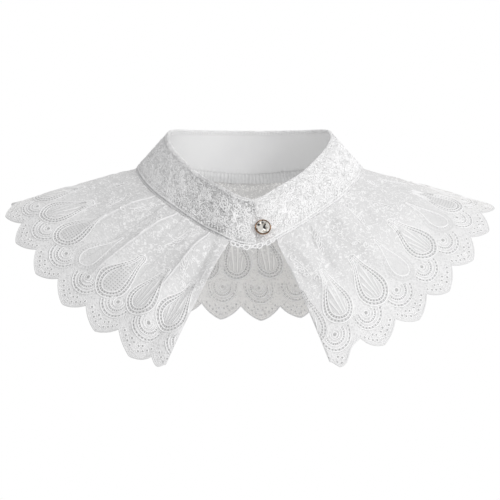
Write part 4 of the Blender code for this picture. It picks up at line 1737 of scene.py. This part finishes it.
band_cloth, book, shader = new_material("band_cotton")
band_map = book.uv("band")
along, below = book.split(band_map)[:2]
rise = book.split(book.uv("rise"))[1]
threads = use_group(book, weave, Place=band_map, Thread=LAWN_THREAD)["Height"]
ground = use_group(book, tone, Place=book.place(), Base=BAND_WHITE, Shade=BAND_SHADE)["Color"]
closed_corner = book.times(book.ramp(along, 6.0, 30.0, 0.85, 0.0), book.ramp(below, 9.0, 19.0))
open_shaded_end = book.ramp(along, OPEN_UNTIL, OPEN_UNTIL + OPEN_EASE, 1.0, 0.04)
open_shaded_end = book.times(open_shaded_end, book.flipped(closed_corner))
crowded = book.times(open_shaded_end, book.ramp(along, *CROWDED, 1.0, 0.30))
vines = book.noise(band_map, VINE_SCALE, 2.0, 0.8)
chance = book.noise(band_map, CHANCE_SCALE, 1.0)
vine = book.line(vines, 0.52, 0.020)
cuts = book.times(book.line(vines, 0.45, 0.026), book.ramp(chance, 0.38, 0.46), crowded)
gaps = book.times(book.ramp(book.cells(band_map, GAP_SCALE, "DISTANCE_TO_EDGE"), 0.08, 0.30), crowded)
specks = book.times(book.ramp(book.cells(band_map, SPECK_SCALE), 0.16, 0.34, 0.6, 0.0), crowded)
slots = [book.line(rise, 4.3, 1.3), book.ramp(book.wave(along, LADDER_STEP), 0.1, 0.8)]
slots = book.times(*slots, book.ramp(chance, 0.46, 0.56), crowded)
seam_shadow = book.times(book.line(rise, 1.0, 0.6), book.plus(book.times(open_shaded_end, 0.7), 0.1))
fold_shadow = book.times(book.line(below, 3.7, 0.6), open_shaded_end, 0.6)
end_shadow = book.line(along, band_end - BAND_OVERLAP / MM + 0.6, 1.4)
colour = book.layers(ground, [
    # painted shade in the gaps between threads and over the open -X half
    (book.times(gaps, 0.20), BAND_PAINTED_SHADE),
    (book.times(open_shaded_end, book.ramp(along, *CROWDED, 0.10, 0.27)), BAND_PAINTED_SHADE),
    # cuts, specks and slots show painted shadow from behind the cloth
    (specks, BAND_HOLE_SHADE),
    (book.times(vine, 0.25), THREAD),
    (book.times(cuts, 0.90), BAND_HOLE_SHADE),
    (book.times(slots, 0.70), BAND_HOLE_SHADE),
    (seam_shadow, BAND_PAINTED_SHADE),
    (book.times(book.most(fold_shadow, end_shadow), 0.6), BAND_PAINTED_SHADE),
    # painted highlight along the folded top edge
    (book.ramp(below, 2.2, 3.0, 1.0, 0.0), THREAD),
])
stitches = book.noise(band_map, STITCH_SCALE, 3.0, 1.6)
parts = [(threads, WEAVE_RELIEF), (stitches, 0.42), (gaps, -0.30), (vine, 0.35), (cuts, -0.35)]
finish_cotton(book, shader, colour, book.weighted(parts))
print("band material:", len(band_cloth.node_tree.nodes), "nodes")

# %% [markdown]
# The facing is plain. The tape below it is the same cotton, gathered, and its tucks show as soft stripes of
# painted shade.
# Thread is smoother than cloth and catches a little more light.

# %% Facing cloth and thread
TUCK_PITCH = 2.7
TWIST_SCALE = 2400.0


def plain_material(name, gathered=False):
    """Plain cotton, with painted shade in stripes where it is gathered."""
    material, book, shader = new_material(name)
    band_map = book.uv("band")
    threads = use_group(book, weave, Place=band_map, Thread=PLAIN_THREAD)["Height"]
    colour = use_group(book, tone, Place=book.place(), Base=PLAIN, Shade=PLAIN_SHADE)["Color"]
    height = book.times(threads, 0.04)
    if gathered:
        wander = book.times(book.noise(band_map, 0.30, 1.0), 5.0)
        phase = book.plus(book.times(book.split(band_map)[0], 2 * pi / TUCK_PITCH), wander)
        tucks = book.ramp(book.math("SINE", phase), -0.6, 0.8)
        # painted shade in the tucks
        colour = book.mix(book.times(tucks, 0.34), colour, PAINTED_SHADE)
        height = book.less(height, book.times(tucks, 0.25))
    finish_cotton(book, shader, colour, height)
    return material


def thread_material(name, base, shade, shade_at_minus_x=1.0):
    """Cotton thread; the last argument is the share of its colour kept towards -X, a painted shade on that
    side.
    """
    material, book, shader = new_material(name)
    place = book.place()
    ground = use_group(book, tone, Place=place, Base=base, Shade=shade)["Color"]
    # painted shade: the thread is darker towards -X
    half = book.ramp(book.split(place)[0], -0.034, -0.008, shade_at_minus_x, 1.0)
    scaled = book.node("ShaderNodeVectorMath", {0: ground, "Scale": half}, operation="SCALE").outputs[0]
    twist = use_group(book, satin, Place=place, Size=TWIST_SCALE)["Height"]
    finish_cotton(book, shader, scaled, book.times(twist, 0.12), roughness=0.6, sheen=0.15)
    return material


plain_cloth = plain_material("facing_cotton")
tape_cloth = plain_material("tape_cotton", gathered=True)
thread = thread_material("embroidery_thread", THREAD, THREAD_SHADE)
edging = thread_material("edge_thread", EDGE_THREAD, EDGE_SHADE)
# the band's threads get painted shade towards -X
band_thread = thread_material("band_thread", BAND_THREAD, THREAD, shade_at_minus_x=0.80)
print("threads:", [material.name for material in (thread, edging, band_thread)])

# %% [markdown]
# The cup is rose gold that has darkened in places. The stone is glass over a mirrored foil, which a metal
# under a clear coat stands for; cells of the same size as its inner facets paint dark, grey and bright
# reflections on it.

# %% Metal and glass
GOLD = (0.38, 0.23, 0.14, 1)
GOLD_DARK = (0.12, 0.07, 0.05, 1)
TARNISH_SCALE = 900.0
GLINT_SCALE = 520.0
PAINTED_REFLECTION_TONES = [(0.62, 0.58, 0.52, 1), (1.0, 0.97, 0.92, 1), (0.03, 0.03, 0.03, 1)]

gold, book, shader = new_material("dark_rose_gold")
tarnish = book.noise(book.place(), TARNISH_SCALE, 4.0)
book.feed(shader.inputs["Base Color"], book.mix(book.ramp(tarnish, 0.4, 0.7), GOLD, GOLD_DARK))
book.feed(shader.inputs["Roughness"], book.ramp(tarnish, 0.3, 0.7, 0.16, 0.34))
set_shader(shader, Metallic=1.0)

glass, book, shader = new_material("foiled_glass")
place = book.place()
flaws = book.noise(place, 1400.0)
facets = book.node("ShaderNodeTexVoronoi", {"Vector": place, "Scale": GLINT_SCALE}).outputs["Color"]
glint = book.node("ShaderNodeSeparateColor", {0: facets}).outputs
# painted reflections: each cell of the stone is dark, grey or bright
bright = book.mix(book.ramp(glint[0], 0.20, 0.24), *PAINTED_REFLECTION_TONES[:2])
book.feed(shader.inputs["Base Color"], book.mix(book.ramp(glint[1], 0.08, 0.11), PAINTED_REFLECTION_TONES[2], bright))
book.feed(shader.inputs["Roughness"], book.ramp(flaws, 0.3, 0.7, 0.02, 0.06))
set_shader(shader, Metallic=0.92, Coat_Weight=1.0)
print("button:", gold.name, "and", glass.name)

# %% [markdown]
# ## Putting it together
# Each piece gets its material, rides on the collar's one body, and stands for the solid it covers. The
# loop of cord stays the record's own solid and only gets the thread's material.

# %% Finish each piece
FINISH = [
    ("embroidered_cotton", cape_cloth, [cape]),
    ("embroidered_cotton", thread, [cape_drops, cape_outlines, cape_sprays, cape_fans, cape_rings]),
    ("embroidered_cotton", edging, [cape_hem, cape_fronts]),
    ("embroidered_cotton", band_cloth, [band]),
    ("embroidered_cotton", band_thread, [band_scrolls, band_piping, band_bars]),
    ("embroidered_cotton", thread, [band_picots]),
    ("plain_cotton", plain_cloth, [facing]),
    ("plain_cotton", tape_cloth, [tape]),
    ("plain_cotton", thread, [overlock]),
    ("rose_gold", gold, [rim]),
    ("clear_stone", glass, [stone]),
]
for slot, material, pieces in FINISH:
    for piece in pieces:
        piece.data.materials.clear()
        piece.data.materials.append(material)
        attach(piece, "root")
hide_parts("cape")
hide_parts("stand_band")
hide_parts("band_facing")
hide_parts("button_rim")
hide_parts("button_stone")
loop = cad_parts["button_loop"]
loop.data.materials.clear()
loop.data.materials.append(thread)
print("pieces:", sum(len(pieces) for slot, material, pieces in FINISH))
